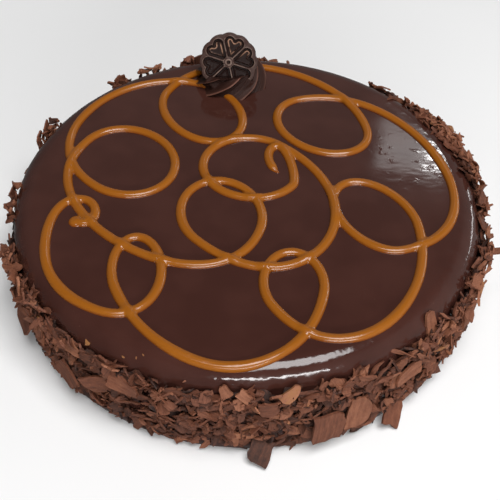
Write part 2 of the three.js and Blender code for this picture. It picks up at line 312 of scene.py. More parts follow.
@dataclass(frozen=True)
class MirrorGlaze:
    """Dark cocoa glaze, poured and set to a mirror; its scales are features per metre."""

    deep: Colour = (0.0460, 0.0155, 0.0112)
    paler_patch: Colour = (0.0560, 0.0195, 0.0142)
    speck: Colour = (0.16, 0.085, 0.06)
    speck_scale: float = 900.0
    speck_share: Pair = (0.80, 0.84)
    speck_strength: float = 0.6
    cloud_scale: float = 45.0
    flat_radius: float = 99.0 * MM
    round_radius: float = 112.0 * MM
    ripple_scale: float = 150.0
    ripple_height: float = 0.5 * MM
    flat_ripple: float = 0.01
    round_ripple: float = 0.7
    uneven_spot: Triple = (88.0 * MM, 24.0 * MM, 53.3 * MM)
    uneven_reach: float = 34.0 * MM
    uneven_core: float = 0.3
    drawn_scale: Triple = (105.0, 210.0, 105.0)
    drawn: float = 0.12
    squiggle_scale: float = 210.0
    squiggle_share: Pair = (0.60, 0.76)
    squiggle: float = 0.055
    swell_scale: float = 38.0
    swell_height: float = 0.06 * MM
    pore_scale: float = 1500.0
    pore_share: Pair = (0.70, 0.82)
    pore_height: float = 0.02 * MM
    blur: float = 0.05
    blur_spread: float = 0.05

    def material(self) -> bpy.types.Material:
        """Build the finish.

        Returns:
            The material.
        """
        graph = Graph.of_material("mirror_glaze")
        x, y, _ = graph.axes(graph.place)
        radius = (x * x + y * y) ** 0.5
        shoulder = radius.ramp(self.flat_radius, self.round_radius)
        clouds = graph.noise(self.cloud_scale, 2.0)
        specks = graph.noise(self.speck_scale, 1.0).ramp(*self.speck_share)
        colour = graph.mix(clouds.ramp(0.35, 0.7), self.deep, self.paler_patch)
        colour = graph.mix(specks * self.speck_strength, colour, self.speck)
        gap = graph.node("VectorMath", {"operation": "DISTANCE"}, {0: graph.place, 1: self.uneven_spot})
        core = self.uneven_core * self.uneven_reach
        spot = Value(graph, gap.outputs["Value"]).ramp(self.uneven_reach, core)
        ripples = graph.noise(self.ripple_scale, 2.0) * (shoulder * self.round_ripple + self.flat_ripple)
        drawn = graph.noise(1.0, 1.0, graph.stretched(self.drawn_scale)) * self.drawn
        squiggles = graph.noise(self.squiggle_scale, 2.0).ramp(*self.squiggle_share) * self.squiggle
        ripples = ripples + (drawn + squiggles) * spot
        pores = graph.noise(self.pore_scale, 2.0).ramp(*self.pore_share)
        normal = graph.bump(graph.noise(self.swell_scale, 1.0), self.swell_height)
        normal = graph.bump(ripples, self.ripple_height, normal)
        normal = graph.bump(pores, self.pore_height, normal)
        return graph.surface(
            Base_Color=colour,
            Roughness=clouds * self.blur_spread + shoulder * self.blur_spread + self.blur,
            Normal=normal,
            Specular_IOR_Level=0.5,
        )


@dataclass(frozen=True)
class PipedCaramel:
    """Soft amber caramel with fine lengthwise lines; its scales are features per metre. Its crown is painted
    paler as light and its foot darker as shade.
    """

    # Painted light and shade: foot is the strand's darker shaded colour, crown its paler lit colour.
    foot: Colour = (0.190, 0.046, 0.0035)
    crown: Colour = (0.292, 0.092, 0.0065)
    crown_light_share: float = 0.85
    cloud_scale: float = 120.0
    lines: float = 9.0
    line_wander: float = 1.5
    line_patches: float = 60.0
    line_height: float = 0.06 * MM
    dimple_scale: float = 500.0
    dimple_height: float = 0.05 * MM
    blur: float = 0.16
    blur_spread: float = 0.10

    def material(self) -> bpy.types.Material:
        """Build the finish.

        Returns:
            The material.
        """
        graph = Graph.of_material("piped_caramel")
        crown = graph.attribute("crown")
        across = graph.attribute("across")
        clouds = graph.noise(self.cloud_scale, 2.0)
        # Painted light and shade: the strand pales from its foot to its crown by height on the strand.
        body = crown.ramp(0.05, 0.75) * self.crown_light_share + clouds * (1.0 - self.crown_light_share)
        colour = graph.mix(body, self.foot, self.crown)
        threads = (across * self.lines + clouds * self.line_wander).math("SINE") * 0.5 + 0.5
        patches = graph.noise(self.line_patches, 1.0).ramp(0.4, 0.6)
        normal = graph.bump(threads * patches, self.line_height)
        normal = graph.bump(graph.noise(self.dimple_scale, 2.0), self.dimple_height, normal)
        return graph.surface(
            Base_Color=colour,
            Roughness=clouds * self.blur_spread + self.blur,
            Normal=normal,
            Specular_IOR_Level=0.5,
        )


@dataclass(frozen=True)
class BrokenChocolate:
    """Dusty broken chocolate, each shaving in its tone: partly its own colour, partly painted shade and
    light from where it lies on the side.
    """

    shade: Colour = (0.028, 0.013, 0.010)
    milk: Colour = (0.150, 0.052, 0.028)
    pale: Colour = (0.280, 0.112, 0.060)
    tan: Colour = (0.275, 0.120, 0.040)
    milk_tone: float = 0.42
    pale_tone: float = 0.78
    streak_share: float = 0.60
    mottle_scale: float = 420.0
    mottle_share: float = 0.26
    dust_scale: float = 1500.0
    dust_share: float = 0.26
    coarse: float = 0.6
    streak_height: float = 0.45 * MM
    dust_height: float = 0.10 * MM
    dull: float = 0.76
    streak_gloss: float = 0.24

    def material(self) -> bpy.types.Material:
        """Build the finish.

        Returns:
            The material.
        """
        graph = Graph.of_material("broken_chocolate")
        # The tone holds painted shade and light as well as each shaving's own colour.
        tone = graph.attribute("tone")
        streaks = graph.noise(1.0, 3.0, graph.vector("grain"), self.coarse)
        mottle = graph.noise(self.mottle_scale, 3.0, rough=self.coarse)
        dust = graph.noise(self.dust_scale, 2.0, rough=self.coarse)
        share = tone + (streaks - 0.5) * self.streak_share
        share = share + (mottle - 0.5) * self.mottle_share + (dust - 0.5) * self.dust_share
        stops = [(0.0, self.shade), (self.milk_tone, self.milk), (self.pale_tone, self.pale)]
        colour = graph.colours(share, [*stops, (1.0, self.tan)])
        normal = graph.bump(streaks, self.streak_height)
        normal = graph.bump(dust, self.dust_height, normal)
        return graph.surface(
            Base_Color=colour,
            Roughness=self.dull - streaks * self.streak_gloss,
            Normal=normal,
            Specular_IOR_Level=0.25,
        )


@dataclass(frozen=True)
class PipedCream:
    """Satin dark chocolate cream, paler along its thin edges and crests as painted highlight and darker in
    its furrows as painted shade.
    """

    # Painted light and shade: deep is the furrows' shaded colour, edge the crests' lit colour.
    deep: Colour = (0.021, 0.0080, 0.0058)
    edge: Colour = (0.170, 0.074, 0.052)
    thin_edge_highlight: Pair = (0.74, 1.0)
    crest_highlight_share: float = 0.8
    slope_light_share: float = 0.20
    stroke_share: float = 0.25
    depth_share: float = 0.06
    drag_share: float = 0.2
    drag_scale: float = 90.0
    grain_scale: float = 700.0
    coarse: float = 0.6
    stroke_height: float = 0.7 * MM
    drag_height: float = 0.4 * MM
    grain_height: float = 0.07 * MM
    satin: float = 0.42
    satin_spread: float = 0.15

    def material(self) -> bpy.types.Material:
        """Build the finish.

        Returns:
            The material.
        """
        graph = Graph.of_material("piped_cream")
        crest = graph.attribute("crest")
        grain = graph.noise(self.grain_scale, 3.0, rough=self.coarse)
        drag = graph.noise(self.drag_scale, 2.0)
        strokes = graph.noise(1.0, 3.0, graph.vector("grain"), self.coarse)
        # Painted highlight and shade: the colour pales towards each crest and darkens into the furrows.
        share = crest.ramp(*self.thin_edge_highlight) * self.crest_highlight_share + crest * self.slope_light_share
        share = share + strokes.ramp(0.5, 0.75) * self.stroke_share - self.depth_share
        colour = graph.mix(share + (drag - 0.5) * self.drag_share, self.deep, self.edge)
        normal = graph.bump(strokes, self.stroke_height)
        normal = graph.bump(drag, self.drag_height, normal)
        normal = graph.bump(grain, self.grain_height, normal)
        return graph.surface(
            Base_Color=colour,
            Roughness=grain * self.satin_spread + self.satin,
            Normal=normal,
            Specular_IOR_Level=0.12,
        )


@dataclass(frozen=True)
class MouldedChocolate:
    """Very dark moulded chocolate with bloom: pockets painted black as shade, raised edges painted paler as
    highlight, and a copper glint painted as a highlight on its upper hearts.
    """

    # Painted shade: the pockets' floors are darker than the face; relief takes the colour from one to the
    # other.
    shaded_pocket: Colour = (0.0135, 0.0052, 0.0038)
    face: Colour = (0.048, 0.0240, 0.0195)
    bloom: Colour = (0.088, 0.0570, 0.0460)
    # Painted highlight: paler patches on the raised lips and ridges, where light catches them.
    paler_patch: Colour = (0.170, 0.1150, 0.0930)
    gleam: Colour = (0.48, 0.27, 0.18)
    pocket_shade_rise: Pair = (0.15, 0.95)
    bloom_rise: Pair = (0.6, 1.1)
    bloom_strength: float = 0.8
    lip_highlight_rise: Pair = (1.03, 1.12)
    gleam_strength: float = 0.9
    patch_scale: float = 260.0
    patch_height: float = 0.25 * MM
    grain_scale: float = 1200.0
    grain_height: float = 0.03 * MM
    blur: float = 0.28
    blur_spread: float = 0.25

    def material(self) -> bpy.types.Material:
        """Build the finish.

        Returns:
            The material.
        """
        graph = Graph.of_material("moulded_chocolate")
        relief = graph.attribute("relief")
        glint = graph.attribute("glint")
        patches = graph.noise(self.patch_scale, 4.0, rough=0.65)
        grain = graph.noise(self.grain_scale, 2.0)
        bloom = patches.ramp(0.42, 0.80) * relief.ramp(*self.bloom_rise) * self.bloom_strength
        # Painted highlight: patches of paler colour on the highest lips and ridges.
        paler_patch = relief.ramp(*self.lip_highlight_rise) * patches.ramp(0.3, 0.6)
        # Painted highlight: a copper glint along the inner hearts' edges, on the upper hearts only.
        gleam = glint * patches.ramp(0.38, 0.55) * self.gleam_strength
        # Painted shade: the colour darkens from the face down into the pockets.
        colour = graph.mix(relief.ramp(*self.pocket_shade_rise), self.shaded_pocket, self.face)
        colour = graph.mix(bloom, colour, self.bloom)
        colour = graph.mix(paler_patch, colour, self.paler_patch)
        colour = graph.mix(gleam, colour, self.gleam)
        normal = graph.bump(patches, self.patch_height)
        normal = graph.bump(grain, self.grain_height, normal)
        return graph.surface(
            Base_Color=colour,
            Roughness=patches * self.blur_spread + self.blur,
            Normal=normal,
            Specular_IOR_Level=0.14,
        )


@dataclass(frozen=True)
class PaleTable:
    """The plain pale surface that the cake stands on."""

    low: Colour = (0.86, 0.86, 0.86)
    high: Colour = (0.90, 0.90, 0.90)
    cloud_scale: float = 3.0

    def material(self) -> bpy.types.Material:
        """Build the finish.

        Returns:
            The material.
        """
        graph = Graph.of_material("pale_table")
        colour = graph.mix(graph.noise(self.cloud_scale), self.low, self.high)
        return graph.surface(Base_Color=colour, Roughness=0.9, Specular_IOR_Level=0.2)


# ---------------------------------------------------------------- mesh helpers


class Shading(Enum):
    """How a piece's faces are shaded."""

    SMOOTH = True
    FLAT = False


def finished_piece(
    name: str,
    work: bmesh.types.BMesh,
    material: bpy.types.Material,
    node: str,
    shading: Shading = Shading.SMOOTH,
) -> bpy.types.Object:
    """Turn a finished bmesh into a piece that stands for a solid of the frame.

    Args:
        name: the piece's name.
        work: the bmesh, which is freed.
        material: what the piece is made of.
        node: the solid that it stands for.
        shading: smooth or flat faces.

    Returns:
        The piece.
    """
    mesh = bpy.data.meshes.new(name)
    work.to_mesh(mesh)
    work.free()
    mesh.polygons.foreach_set("use_smooth", [shading.value] * len(mesh.polygons))
    mesh.materials.append(material)
    piece = bpy.data.objects.new(name, mesh)
    bpy.context.scene.collection.objects.link(piece)
    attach(piece, "root")
    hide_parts(node)
    log.info("%s: %d faces", name, len(mesh.polygons))
    return piece


def revolved(profile: Sequence[Pair], steps: int) -> bmesh.types.BMesh:
    """Spin a half section round +Z into a closed shell.

    Args:
        profile: radius and height of each corner, from the axis below to the axis above.
        steps: how many sides the shell has.

    Returns:
        The shell, with its poles merged and its faces outwards.
    """
    work = bmesh.new()
    corners = [work.verts.new((radius, 0.0, height)) for radius, height in profile]
    edges = [work.edges.new(pair) for pair in zip(corners, corners[1:])]
    bmesh.ops.spin(
        work,
        geom=[*corners, *edges],
        cent=(0.0, 0.0, 0.0),
        axis=(0.0, 0.0, 1.0),
        dvec=(0.0, 0.0, 0.0),
        angle=2.0 * math.pi,
        steps=steps,
        use_merge=True,
    )
    bmesh.ops.remove_doubles(work, verts=work.verts[:], dist=1e-7)
    bmesh.ops.recalc_face_normals(work, faces=work.faces[:])
    return work


def smooth_step(value: float, low: float, high: float) -> float:
    """Rise smoothly from 0 to 1 as a value goes from low to high.

    Args:
        value: the value.
        low: where the result is 0.
        high: where the result is 1.

    Returns:
        The share.
    """
    share = min(1.0, max(0.0, (value - low) / (high - low)))
    return share * share * (3.0 - 2.0 * share)


def smooth_fall(value: float, low: float, high: float) -> float:
    """Fall smoothly from 1 to 0 as a value goes from low to high."""
    return smooth_step(-value, -high, -low)


def ragged(place: Vector, scale: float, seed: float = 0.0) -> float:
    """Smooth noise from -1 to 1 at a place, with so many features per metre."""
    return noise.noise(place * scale + Vector((seed, -seed, 0.5 * seed)))


# ---------------------------------------------------------------- glazed body


@dataclass
class GlazedBody:
    """The round body of the cake under its poured glaze.

    The lumps on its side and on its upper edge come and go between the heights of each start and end.
    """

    radius: float = 115.0 * MM
    height: float = 53.3 * MM
    shoulder: float = 10.8 * MM
    coat_radius: float = 116.3 * MM
    coat_top: float = 37.0 * MM
    foot: float = 1.2 * MM
    lumps: float = 1.1 * MM
    wave: float = 0.22 * MM
    even_inside: float = 1.6
    side_start: Pair = (0.0, 6.0 * MM)
    side_end: Pair = (38.0 * MM, 46.0 * MM)
    edge_start: Pair = (30.0 * MM, 40.0 * MM)
    edge_end: Pair = (43.0 * MM, 49.0 * MM)
    side_bulge: float = 0.6
    edge_bulge: float = 0.5
    edge_runs: float = 0.8
    sides: int = 288
    side_rows: int = 14
    shoulder_rows: int = 14
    top_rows: int = 14

    def height_at(self, radius: float) -> float:
        """Height of the glaze at a distance from the axis.

        Args:
            radius: the distance from the axis.

        Returns:
            The height: flat, then round over the shoulder.
        """
        over = max(0.0, radius - (self.radius - self.shoulder))
        drop = self.shoulder - math.sqrt(max(0.0, self.shoulder**2 - over**2))
        return self.height - drop

    def half_section(self) -> list[Pair]:
        """The half section from the middle of the base to the middle of the top.

        Returns:
            Radius and height of each corner.
        """
        rise = (self.coat_top - self.foot) / self.side_rows
        side = [(self.coat_radius, self.foot + row * rise) for row in range(self.side_rows + 1)]
        ring = self.radius - self.shoulder
        middle = self.height - self.shoulder
        turn = 0.5 * math.pi / self.shoulder_rows
        round_over = [
            (ring + self.shoulder * math.cos(row * turn), middle + self.shoulder * math.sin(row * turn))
            for row in range(self.shoulder_rows + 1)
        ]
        top = [(ring * (1.0 - row / self.top_rows), self.height) for row in range(1, self.top_rows + 1)]
        base = [(0.0, 0.0), (self.coat_radius - self.foot, 0.0)]
        return [*base, *side, *round_over, *top]

    def settle(self, place: Vector) -> Vector:
        """Make the poured glaze uneven: lumps where it ran down, and a gentle wave on the shoulder.

        Args:
            place: a point of the even shell.

        Returns:
            The point of the real one.
        """
        radius = math.hypot(place.x, place.y)
        if radius < self.radius - self.even_inside * self.shoulder or place.z < self.foot:
            return place
        outward = Vector((place.x, place.y, 0.0)) / radius
        round_share = smooth_step(radius, self.radius - self.shoulder, self.radius)
        side_share = smooth_step(place.z, *self.side_start) * smooth_fall(place.z, *self.side_end)
        edge = smooth_step(place.z, *self.edge_start) * smooth_fall(place.z, *self.edge_end)
        bulge = self.side_bulge * side_share * ragged(place, 160.0, 3.0)
        runs = self.edge_runs * abs(ragged(place, 260.0, 5.0))
        bulge += edge * (self.edge_bulge * ragged(place, 120.0, 9.0) + runs)
        wave = self.wave * round_share * ragged(place, 45.0, 7.0)
        return place + outward * (self.lumps * bulge + wave)

    def build(self) -> bpy.types.Object:
        """Build and dress the body.

        Returns:
            The piece.
        """
        work = revolved(self.half_section(), self.sides)
        for corner in work.verts:
            corner.co = self.settle(corner.co)
        return finished_piece("glazed_body", work, MirrorGlaze().material(), "cake")


# ---------------------------------------------------------------- caramel line


@dataclass(frozen=True)
class Loop:
    """Part of an ellipse that the caramel line follows, in millimetres and degrees."""

    middle: Pair
    radii: Pair
    turn: float
    enter: float
    leave: float

    def point(self, angle: float) -> Vector:
        """The plan point at an angle of the ellipse, in metres."""
        turned = Matrix.Rotation(math.radians(self.turn), 2)
        long, short = self.radii
        bare = Vector((long * math.cos(math.radians(angle)), short * math.sin(math.radians(angle))))
        return (turned @ bare + Vector(self.middle)) * MM

    def heading(self, angle: float) -> Vector:
        """The direction of the line at an angle of the ellipse."""
        return (self.point(angle + 0.5) - self.point(angle - 0.5)).normalized()


@dataclass
class CaramelLine:
    """One long line of caramel piped in loops over the glaze."""

    body: GlazedBody
    width: float = 4.5 * MM
    swell: float = 1.16
    rise: float = 2.2 * MM
    sunk: float = 0.4 * MM
    keel: float = 0.9 * MM
    step: float = 0.9 * MM
    sides: int = 14
    voxel: float = 0.48 * MM
    stack: float = 0.55 * MM
    unevenness: float = 0.09
    rise_swell: float = 1.12
    end_taper: float = 0.35
    taper_length: float = 6.0 * MM
    curve_parts: int = 60
    links: int = 24
    smoothings: int = 5
    start: Pair = (-81.0 * MM, -26.8 * MM)
    start_radius: float = 3.9 * MM
    start_rise: float = 2.1 * MM
    loops: tuple[Loop, ...] = (
        Loop((-78.8, -19.6), (8.4, 5.9), -73, -43, 158),
        Loop((-8.2, -13.3), (92.6, 64.1), 32, 176, 205),
        Loop((-49.5, -56.7), (20.5, 11.2), -84, 60, 300),
        Loop((21.6, -63.3), (19.3, 13.6), -87, 71, 309),
        Loop((61.9, -18.3), (25.8, 16.7), -57, 53, 348),
        Loop((38.9, 49.4), (26.1, 20.3), -40, 154, 402),
        Loop((-25.2, 59.3), (27.3, 19.1), -57, -157, 141),
        Loop((-61.7, 17.7), (26.7, 23.3), -49, -77, 193),
        Loop((-12.3, -19.5), (23.8, 19.3), -74, 54, 304),
        Loop((1.7, 14.8), (24.6, 22.7), -18, 68, 344),
        Loop((17.8, 20.1), (11.8, 6.8), 108, -8, 139),
    )
    swings: tuple[float, ...] = (1.11, 1.42, 1.84, 1.82, 1.58, 1.42, 1.62, 1.79, 2.7, 0.53)

    def swing(self, before: Loop, after: Loop, reach: float) -> Callable[[float], Vector]:
        """The swing of the line from one loop to the next, tangent to both.

        Args:
            before: the loop that the line leaves.
            after: the loop that the line enters.
            reach: how far it swings out, as a share of the straight distance.

        Returns:
            The plan point for a share from 0 to 1.
        """
        start, end = before.point(before.leave), after.point(after.enter)
        pull = (end - start).length * reach / 3.0
        leaving = start + before.heading(before.leave) * pull
        arriving = end - after.heading(after.enter) * pull

        def point(share: float) -> Vector:
            """A point of the cubic curve."""
            rest = 1.0 - share
            near = rest**3 * start + 3.0 * rest**2 * share * leaving
            return near + 3.0 * rest * share**2 * arriving + share**3 * end

        return point

    def plan(self) -> list[Vector]:
        """The whole line seen from above, in even steps.

        Returns:
            Plan points one step apart.
        """
        parts = self.curve_parts
        dense: list[Vector] = []
        for index, loop in enumerate(self.loops):
            span = loop.leave - loop.enter
            count = max(parts, int(abs(span)))
            dense += [loop.point(loop.enter + span * part / count) for part in range(count)]
            if index < len(self.swings):
                point = self.swing(loop, self.loops[index + 1], self.swings[index])
                dense += [point(part / parts) for part in range(parts)]
        last = self.loops[-1]
        dense.append(last.point(last.leave))
        even, spare = [dense[0]], 0.0
        for start, end in zip(dense, dense[1:]):
            length = (end - start).length
            while spare + length >= self.step and length > 0.0:
                start = start.lerp(end, (self.step - spare) / length)
                even.append(start)
                length, spare = (end - start).length, 0.0
            spare += length
        return even

    def crossings(self, plan: Sequence[Vector]) -> list[float]:
        """How far each point of the line rides up on caramel that was piped before it.

        Args:
            plan: the line's plan points.

        Returns:
            The lift of each point.
        """
        apart = int(3.0 * self.width / self.step)
        lifts = []
        for index, here in enumerate(plan):
            earlier = plan[: max(0, index - apart) : 2]
            nearest = min(((here - there).length for there in earlier), default=1.0)
            lifts.append(self.stack * smooth_fall(nearest, 0.3 * self.width, 1.1 * self.width))
        return lifts

    def stations(self) -> Iterator[Matrix]:
        """Where the line's round section stands along the line.

        Yields:
            The matrix that takes a unit circle to each station.
        """
        plan = self.plan()
        lifts = self.crossings(plan)
        for index, here in enumerate(plan):
            ahead = plan[min(index + 1, len(plan) - 1)] - plan[max(index - 1, 0)]
            heading = Vector((ahead.x, ahead.y, 0.0)).normalized()
            radius = here.length
            height = self.body.height_at(radius)
            slope = (self.body.height_at(radius + 0.5 * MM) - self.body.height_at(radius - 0.5 * MM)) / MM
            outward = Vector((here.x, here.y, 0.0)).normalized()
            upright = (Vector((0.0, 0.0, 1.0)) - outward * slope).normalized()
            sideways = upright.cross(heading).normalized()
            forward = sideways.cross(upright)
            from_end = (len(plan) - 1 - index) * self.step
            full = smooth_step(from_end, 0.0, self.taper_length)
            taper = self.end_taper + (1.0 - self.end_taper) * full
            breadth = 1.0 + self.unevenness * ragged(Vector((here.x, here.y, index * 1e-4)), 55.0)
            half = 0.5 * self.width * self.swell * taper * breadth
            rise = self.rise_swell * self.rise * taper
            middle = Vector((here.x, here.y, height - self.sunk)) + upright * lifts[index]
            columns = (sideways * half, upright * rise, forward, middle)
            matrix = Matrix.Identity(4)
            for column, vector in enumerate(columns):
                matrix.col[column].xyz = vector
            yield matrix

    def rope(self) -> bmesh.types.BMesh:
        """Draw the section along the line.

        Returns:
            Closed lengths of tube, end to end, which cross each other where the line does.
        """
        work = bmesh.new()
        scratch = bpy.data.meshes.new("scratch")
        section = bmesh.new()
        stations = list(self.stations())
        for first in range(0, len(stations) - 1, self.links):
            part = stations[first : first + self.links + 1]
            section.clear()
            made = bmesh.ops.create_circle(section, cap_ends=True, segments=self.sides, radius=1.0)
            bmesh.ops.transform(section, matrix=part[0], verts=made["verts"])
            edges = section.edges[:]
            for before, after in zip(part, part[1:]):
                grown = bmesh.ops.extrude_edge_only(section, edges=edges)["geom"]
                ring = [item for item in grown if isinstance(item, bmesh.types.BMVert)]
                edges = [item for item in grown if isinstance(item, bmesh.types.BMEdge)]
                bmesh.ops.transform(section, matrix=after @ before.inverted(), verts=ring)
            bmesh.ops.contextual_create(section, geom=edges)
            bmesh.ops.recalc_face_normals(section, faces=section.faces[:])
            section.to_mesh(scratch)
            work.from_mesh(scratch)
        section.free()
        bpy.data.meshes.remove(scratch)
        return work

    def start_blob(self, work: bmesh.types.BMesh) -> None:
        """Add the blob where the piping began."""
        x, y = self.start
        height = self.body.height_at(math.hypot(x, y)) - self.sunk
        squash = (self.start_radius, self.start_radius, self.start_rise)
        place = Matrix.LocRotScale(Vector((x, y, height)), None, Vector(squash))
        bmesh.ops.create_uvsphere(work, u_segments=24, v_segments=16, radius=1.0, matrix=place)

    def fused(self, work: bmesh.types.BMesh) -> bmesh.types.BMesh:
        """Melt the crossings together.

        Args:
            work: the tube that crosses itself, which is freed.

        Returns:
            One smooth surface.
        """
        mesh = bpy.data.meshes.new("rope")
        work.to_mesh(mesh)
        work.free()
        rope = bpy.data.objects.new("rope", mesh)
        bpy.context.scene.collection.objects.link(rope)
        melt = rope.modifiers.new("melt", "REMESH")
        melt.mode = "VOXEL"
        melt.voxel_size = self.voxel
        graph = bpy.context.evaluated_depsgraph_get()
        melted = bmesh.new()
        melted.from_mesh(rope.evaluated_get(graph).to_mesh())
        bpy.data.objects.remove(rope)
        bpy.data.meshes.remove(mesh)
        for _ in range(self.smoothings):
            bmesh.ops.smooth_vert(
                melted, verts=melted.verts[:], factor=0.5, use_axis_x=True, use_axis_y=True, use_axis_z=True
            )
        return melted

    def note_section(self, work: bmesh.types.BMesh) -> None:
        """Store on each corner how high it lies on the strand and how far across it.

        Args:
            work: the fused line.
        """
        plan = self.plan()
        tree = KDTree(len(plan))
        for index, here in enumerate(plan):
            tree.insert((here.x, here.y, 0.0), index)
        tree.balance()
        crown = work.verts.layers.float.new("crown")
        across = work.verts.layers.float.new("across")
        for corner in work.verts:
            place = corner.co
            _, index, _ = tree.find((place.x, place.y, 0.0))
            heading = plan[min(index + 1, len(plan) - 1)] - plan[max(index - 1, 0)]
            heading.normalize()
            off = Vector((place.x, place.y)) - plan[index]
            corner[across] = (off.y * heading.x - off.x * heading.y) / (0.5 * self.width)
            above = place.z - self.body.height_at(math.hypot(place.x, place.y))
            corner[crown] = max(0.0, above / (self.rise - self.sunk))

    def build(self) -> bpy.types.Object:
        """Build and dress the line.

        Returns:
            The piece.
        """
        work = self.rope()
        self.start_blob(work)
        work = self.fused(work)
        self.note_section(work)
        return finished_piece("caramel_line", work, PipedCaramel().material(), "cake")


# ---------------------------------------------------------------- shavings


@dataclass(frozen=True)
class Shaving:
    """One shaving on the side: sizes in millimetres, angles in degrees."""

    angle: float
    height: float
    lift: float
    size: Pair
    turn: float
    tip: float
    swing: float
    tone: float = 0.45


@dataclass(frozen=True)
class Station:
    """The layer at one angle, in millimetres: how far it and its clumps stand out, and its top."""

    angle: float
    reach: float
    clump: float
    top: float


class Cut(Enum):
    """How a shaving broke: cells along and across, raggedness, rounding, pinch, bend and slant."""

    PLATE = (4, 3, 0.16, 0.42, 0.15, 0.10, 0.5)
    SLIVER = (5, 1, 0.12, 0.50, 0.75, 0.18, 0.5)
    CURL = (6, 2, 0.12, 0.35, 0.20, 0.50, 0.5)
    CRUMB = (2, 2, 0.20, 0.50, 0.10, 0.0, 0.5)
    SLAB = (5, 4, 0.09, 0.12, 0.03, 0.08, 0.18)

    def __init__(
        self,
        along: int,
        across: int,
        ragged_share: float,
        rounding: float,
        pinch: float,
        bend: float,
        slant: float,
    ) -> None:
        """Name the parts of the choice.

        Args:
            along: cells along the shaving.
            across: cells across it.
            ragged_share: how far its outline strays, as a share of its size.
            rounding: how far its corners are broken off.
            pinch: how much narrower its ends are.
            bend: how strongly it bends, as sag over length.
            slant: how far it tapers and leans from a plain rectangle.
        """
        self.along = along
        self.across = across
        self.ragged_share = ragged_share
        self.rounding = rounding
        self.pinch = pinch
        self.bend = bend
        self.slant = slant


@dataclass(frozen=True)
class Clump:
    """A heap of shavings: its middle, spread, reach outwards and number, in degrees and millimetres."""

    angle: float
    height: float
    breadth: float
    depth: float
    reach: float
    count: int


@dataclass
class Pile:
    """Shavings of one kind, joined in one mesh; their lengths and widths are in millimetres."""

    name: str
    cut: Cut
    dice: random.Random
    length: Pair
    width: Pair
    masters: int = 14
    clear: float = 0.3 * MM
    grain: Pair = (6.0 * MM, 0.8 * MM)
    skew: float = 0.6
    warp: float = 1.6
    warp_scale: float = 2.2
    jitter: float = 0.03
    bend_range: Pair = (-0.6, 1.0)
    twist: float = 0.10
    work: bmesh.types.BMesh = field(default_factory=bmesh.new)
    patterns: list[bpy.types.Mesh] = field(default_factory=list)

    def __post_init__(self) -> None:
        """Break the patterns that the pile's shavings are copied from."""
        self.note(self.work)
        self.patterns = [self.pattern() for _ in range(self.masters)]
        self.scratch = bpy.data.meshes.new("scratch")

    @staticmethod
    def note(work: bmesh.types.BMesh) -> None:
        """Give a bmesh the layers that the finish reads."""
        work.verts.layers.float.new("tone")
        work.verts.layers.float_vector.new("grain")

    def pattern(self) -> bpy.types.Mesh:
        """A ragged plate of unit length, width and thickness.

        Returns:
            Its mesh.
        """
        plate = bmesh.new()
        self.note(plate)
        bmesh.ops.create_grid(plate, x_segments=self.cut.along, y_segments=self.cut.across, size=0.5)
        slant, jitter, scale = self.cut.slant, self.jitter, self.warp_scale
        taper = self.dice.uniform(-slant, slant)
        skew = self.skew * self.dice.uniform(-slant, slant)
        seed = self.dice.uniform(0.0, 99.0)
        for corner in plate.verts:
            x, y = corner.co.x, corner.co.y
            pull = 1.0 - self.cut.rounding * (4.0 * x * y) ** 2 * self.dice.uniform(0.1, 1.0)
            warp = noise.noise_vector(Vector((scale * x, scale * y, seed)))
            warp *= self.warp * self.cut.ragged_share
            ends = 1.0 - self.cut.pinch * (2.0 * x) ** 2
            corner.co.x = (x + skew * y) * pull + warp.x + self.dice.uniform(-jitter, jitter)
            corner.co.y = y * (1.0 + taper * x) * pull * ends + warp.y + self.dice.uniform(-jitter, jitter)
        grown = bmesh.ops.extrude_face_region(plate, geom=plate.faces[:])["geom"]
        raised = [item for item in grown if isinstance(item, bmesh.types.BMVert)]
        bmesh.ops.translate(plate, vec=(0.0, 0.0, 1.0), verts=raised)
        bmesh.ops.translate(plate, vec=(0.0, 0.0, -0.5), verts=plate.verts[:])
        bmesh.ops.recalc_face_normals(plate, faces=plate.faces[:])
        mesh = bpy.data.meshes.new(self.name + "_pattern")
        plate.to_mesh(mesh)
        plate.free()
        return mesh

    def draw_size(self) -> Pair:
        """A length and a width by chance, in millimetres."""
        return self.dice.uniform(*self.length), self.dice.uniform(*self.width)

    def add(self, place: Matrix, size: Triple, tone: float, limit: float) -> None:
        """Add one shaving, clear of the table and no farther out than its limit.

        Args:
            place: where it lies, its face along the matrix's third axis.
            size: its length, width and thickness.
            tone: its colour from dark 0 to pale 1, painted shade and light included.
            limit: the farthest that it may be from the cake's axis.
        """
        shaving = bmesh.new()
        shaving.from_mesh(self.dice.choice(self.patterns))
        tones = shaving.verts.layers.float["tone"]
        grains = shaving.verts.layers.float_vector["grain"]
        length, width, thickness = size
        bend = self.cut.bend * self.dice.uniform(*self.bend_range) * length
        twist = self.dice.uniform(-self.twist, self.twist) * length
        layer = self.dice.uniform(0.0, 500.0)
        for corner in shaving.verts:
            x, y, z = corner.co
            sag = bend * (4.0 * x * x - 0.3) + twist * 4.0 * x * y
            corner.co = place @ Vector((x * length, y * width, z * thickness - sag))
            corner[tones] = tone
            corner[grains] = (x * length / self.grain[0], y * width / self.grain[1], layer)
        low = min(corner.co.z for corner in shaving.verts)
        out = max(math.hypot(corner.co.x, corner.co.y) for corner in shaving.verts)
        inward = -Vector((place.translation.x, place.translation.y, 0.0)).normalized()
        move = inward * max(0.0, out - limit)
        move.z = max(0.0, self.clear - low)
        bmesh.ops.translate(shaving, vec=move, verts=shaving.verts[:])
        shaving.to_mesh(self.scratch)
        self.work.from_mesh(self.scratch)
        shaving.free()

    def build(self, finish: bpy.types.Material) -> bpy.types.Object:
        """Join the pile into its piece.

        Args:
            finish: what the shavings are made of.

        Returns:
            The piece.
        """
        for mesh in [*self.patterns, self.scratch]:
            bpy.data.meshes.remove(mesh)
        return finished_piece(self.name, self.work, finish, "cake", Shading.FLAT)


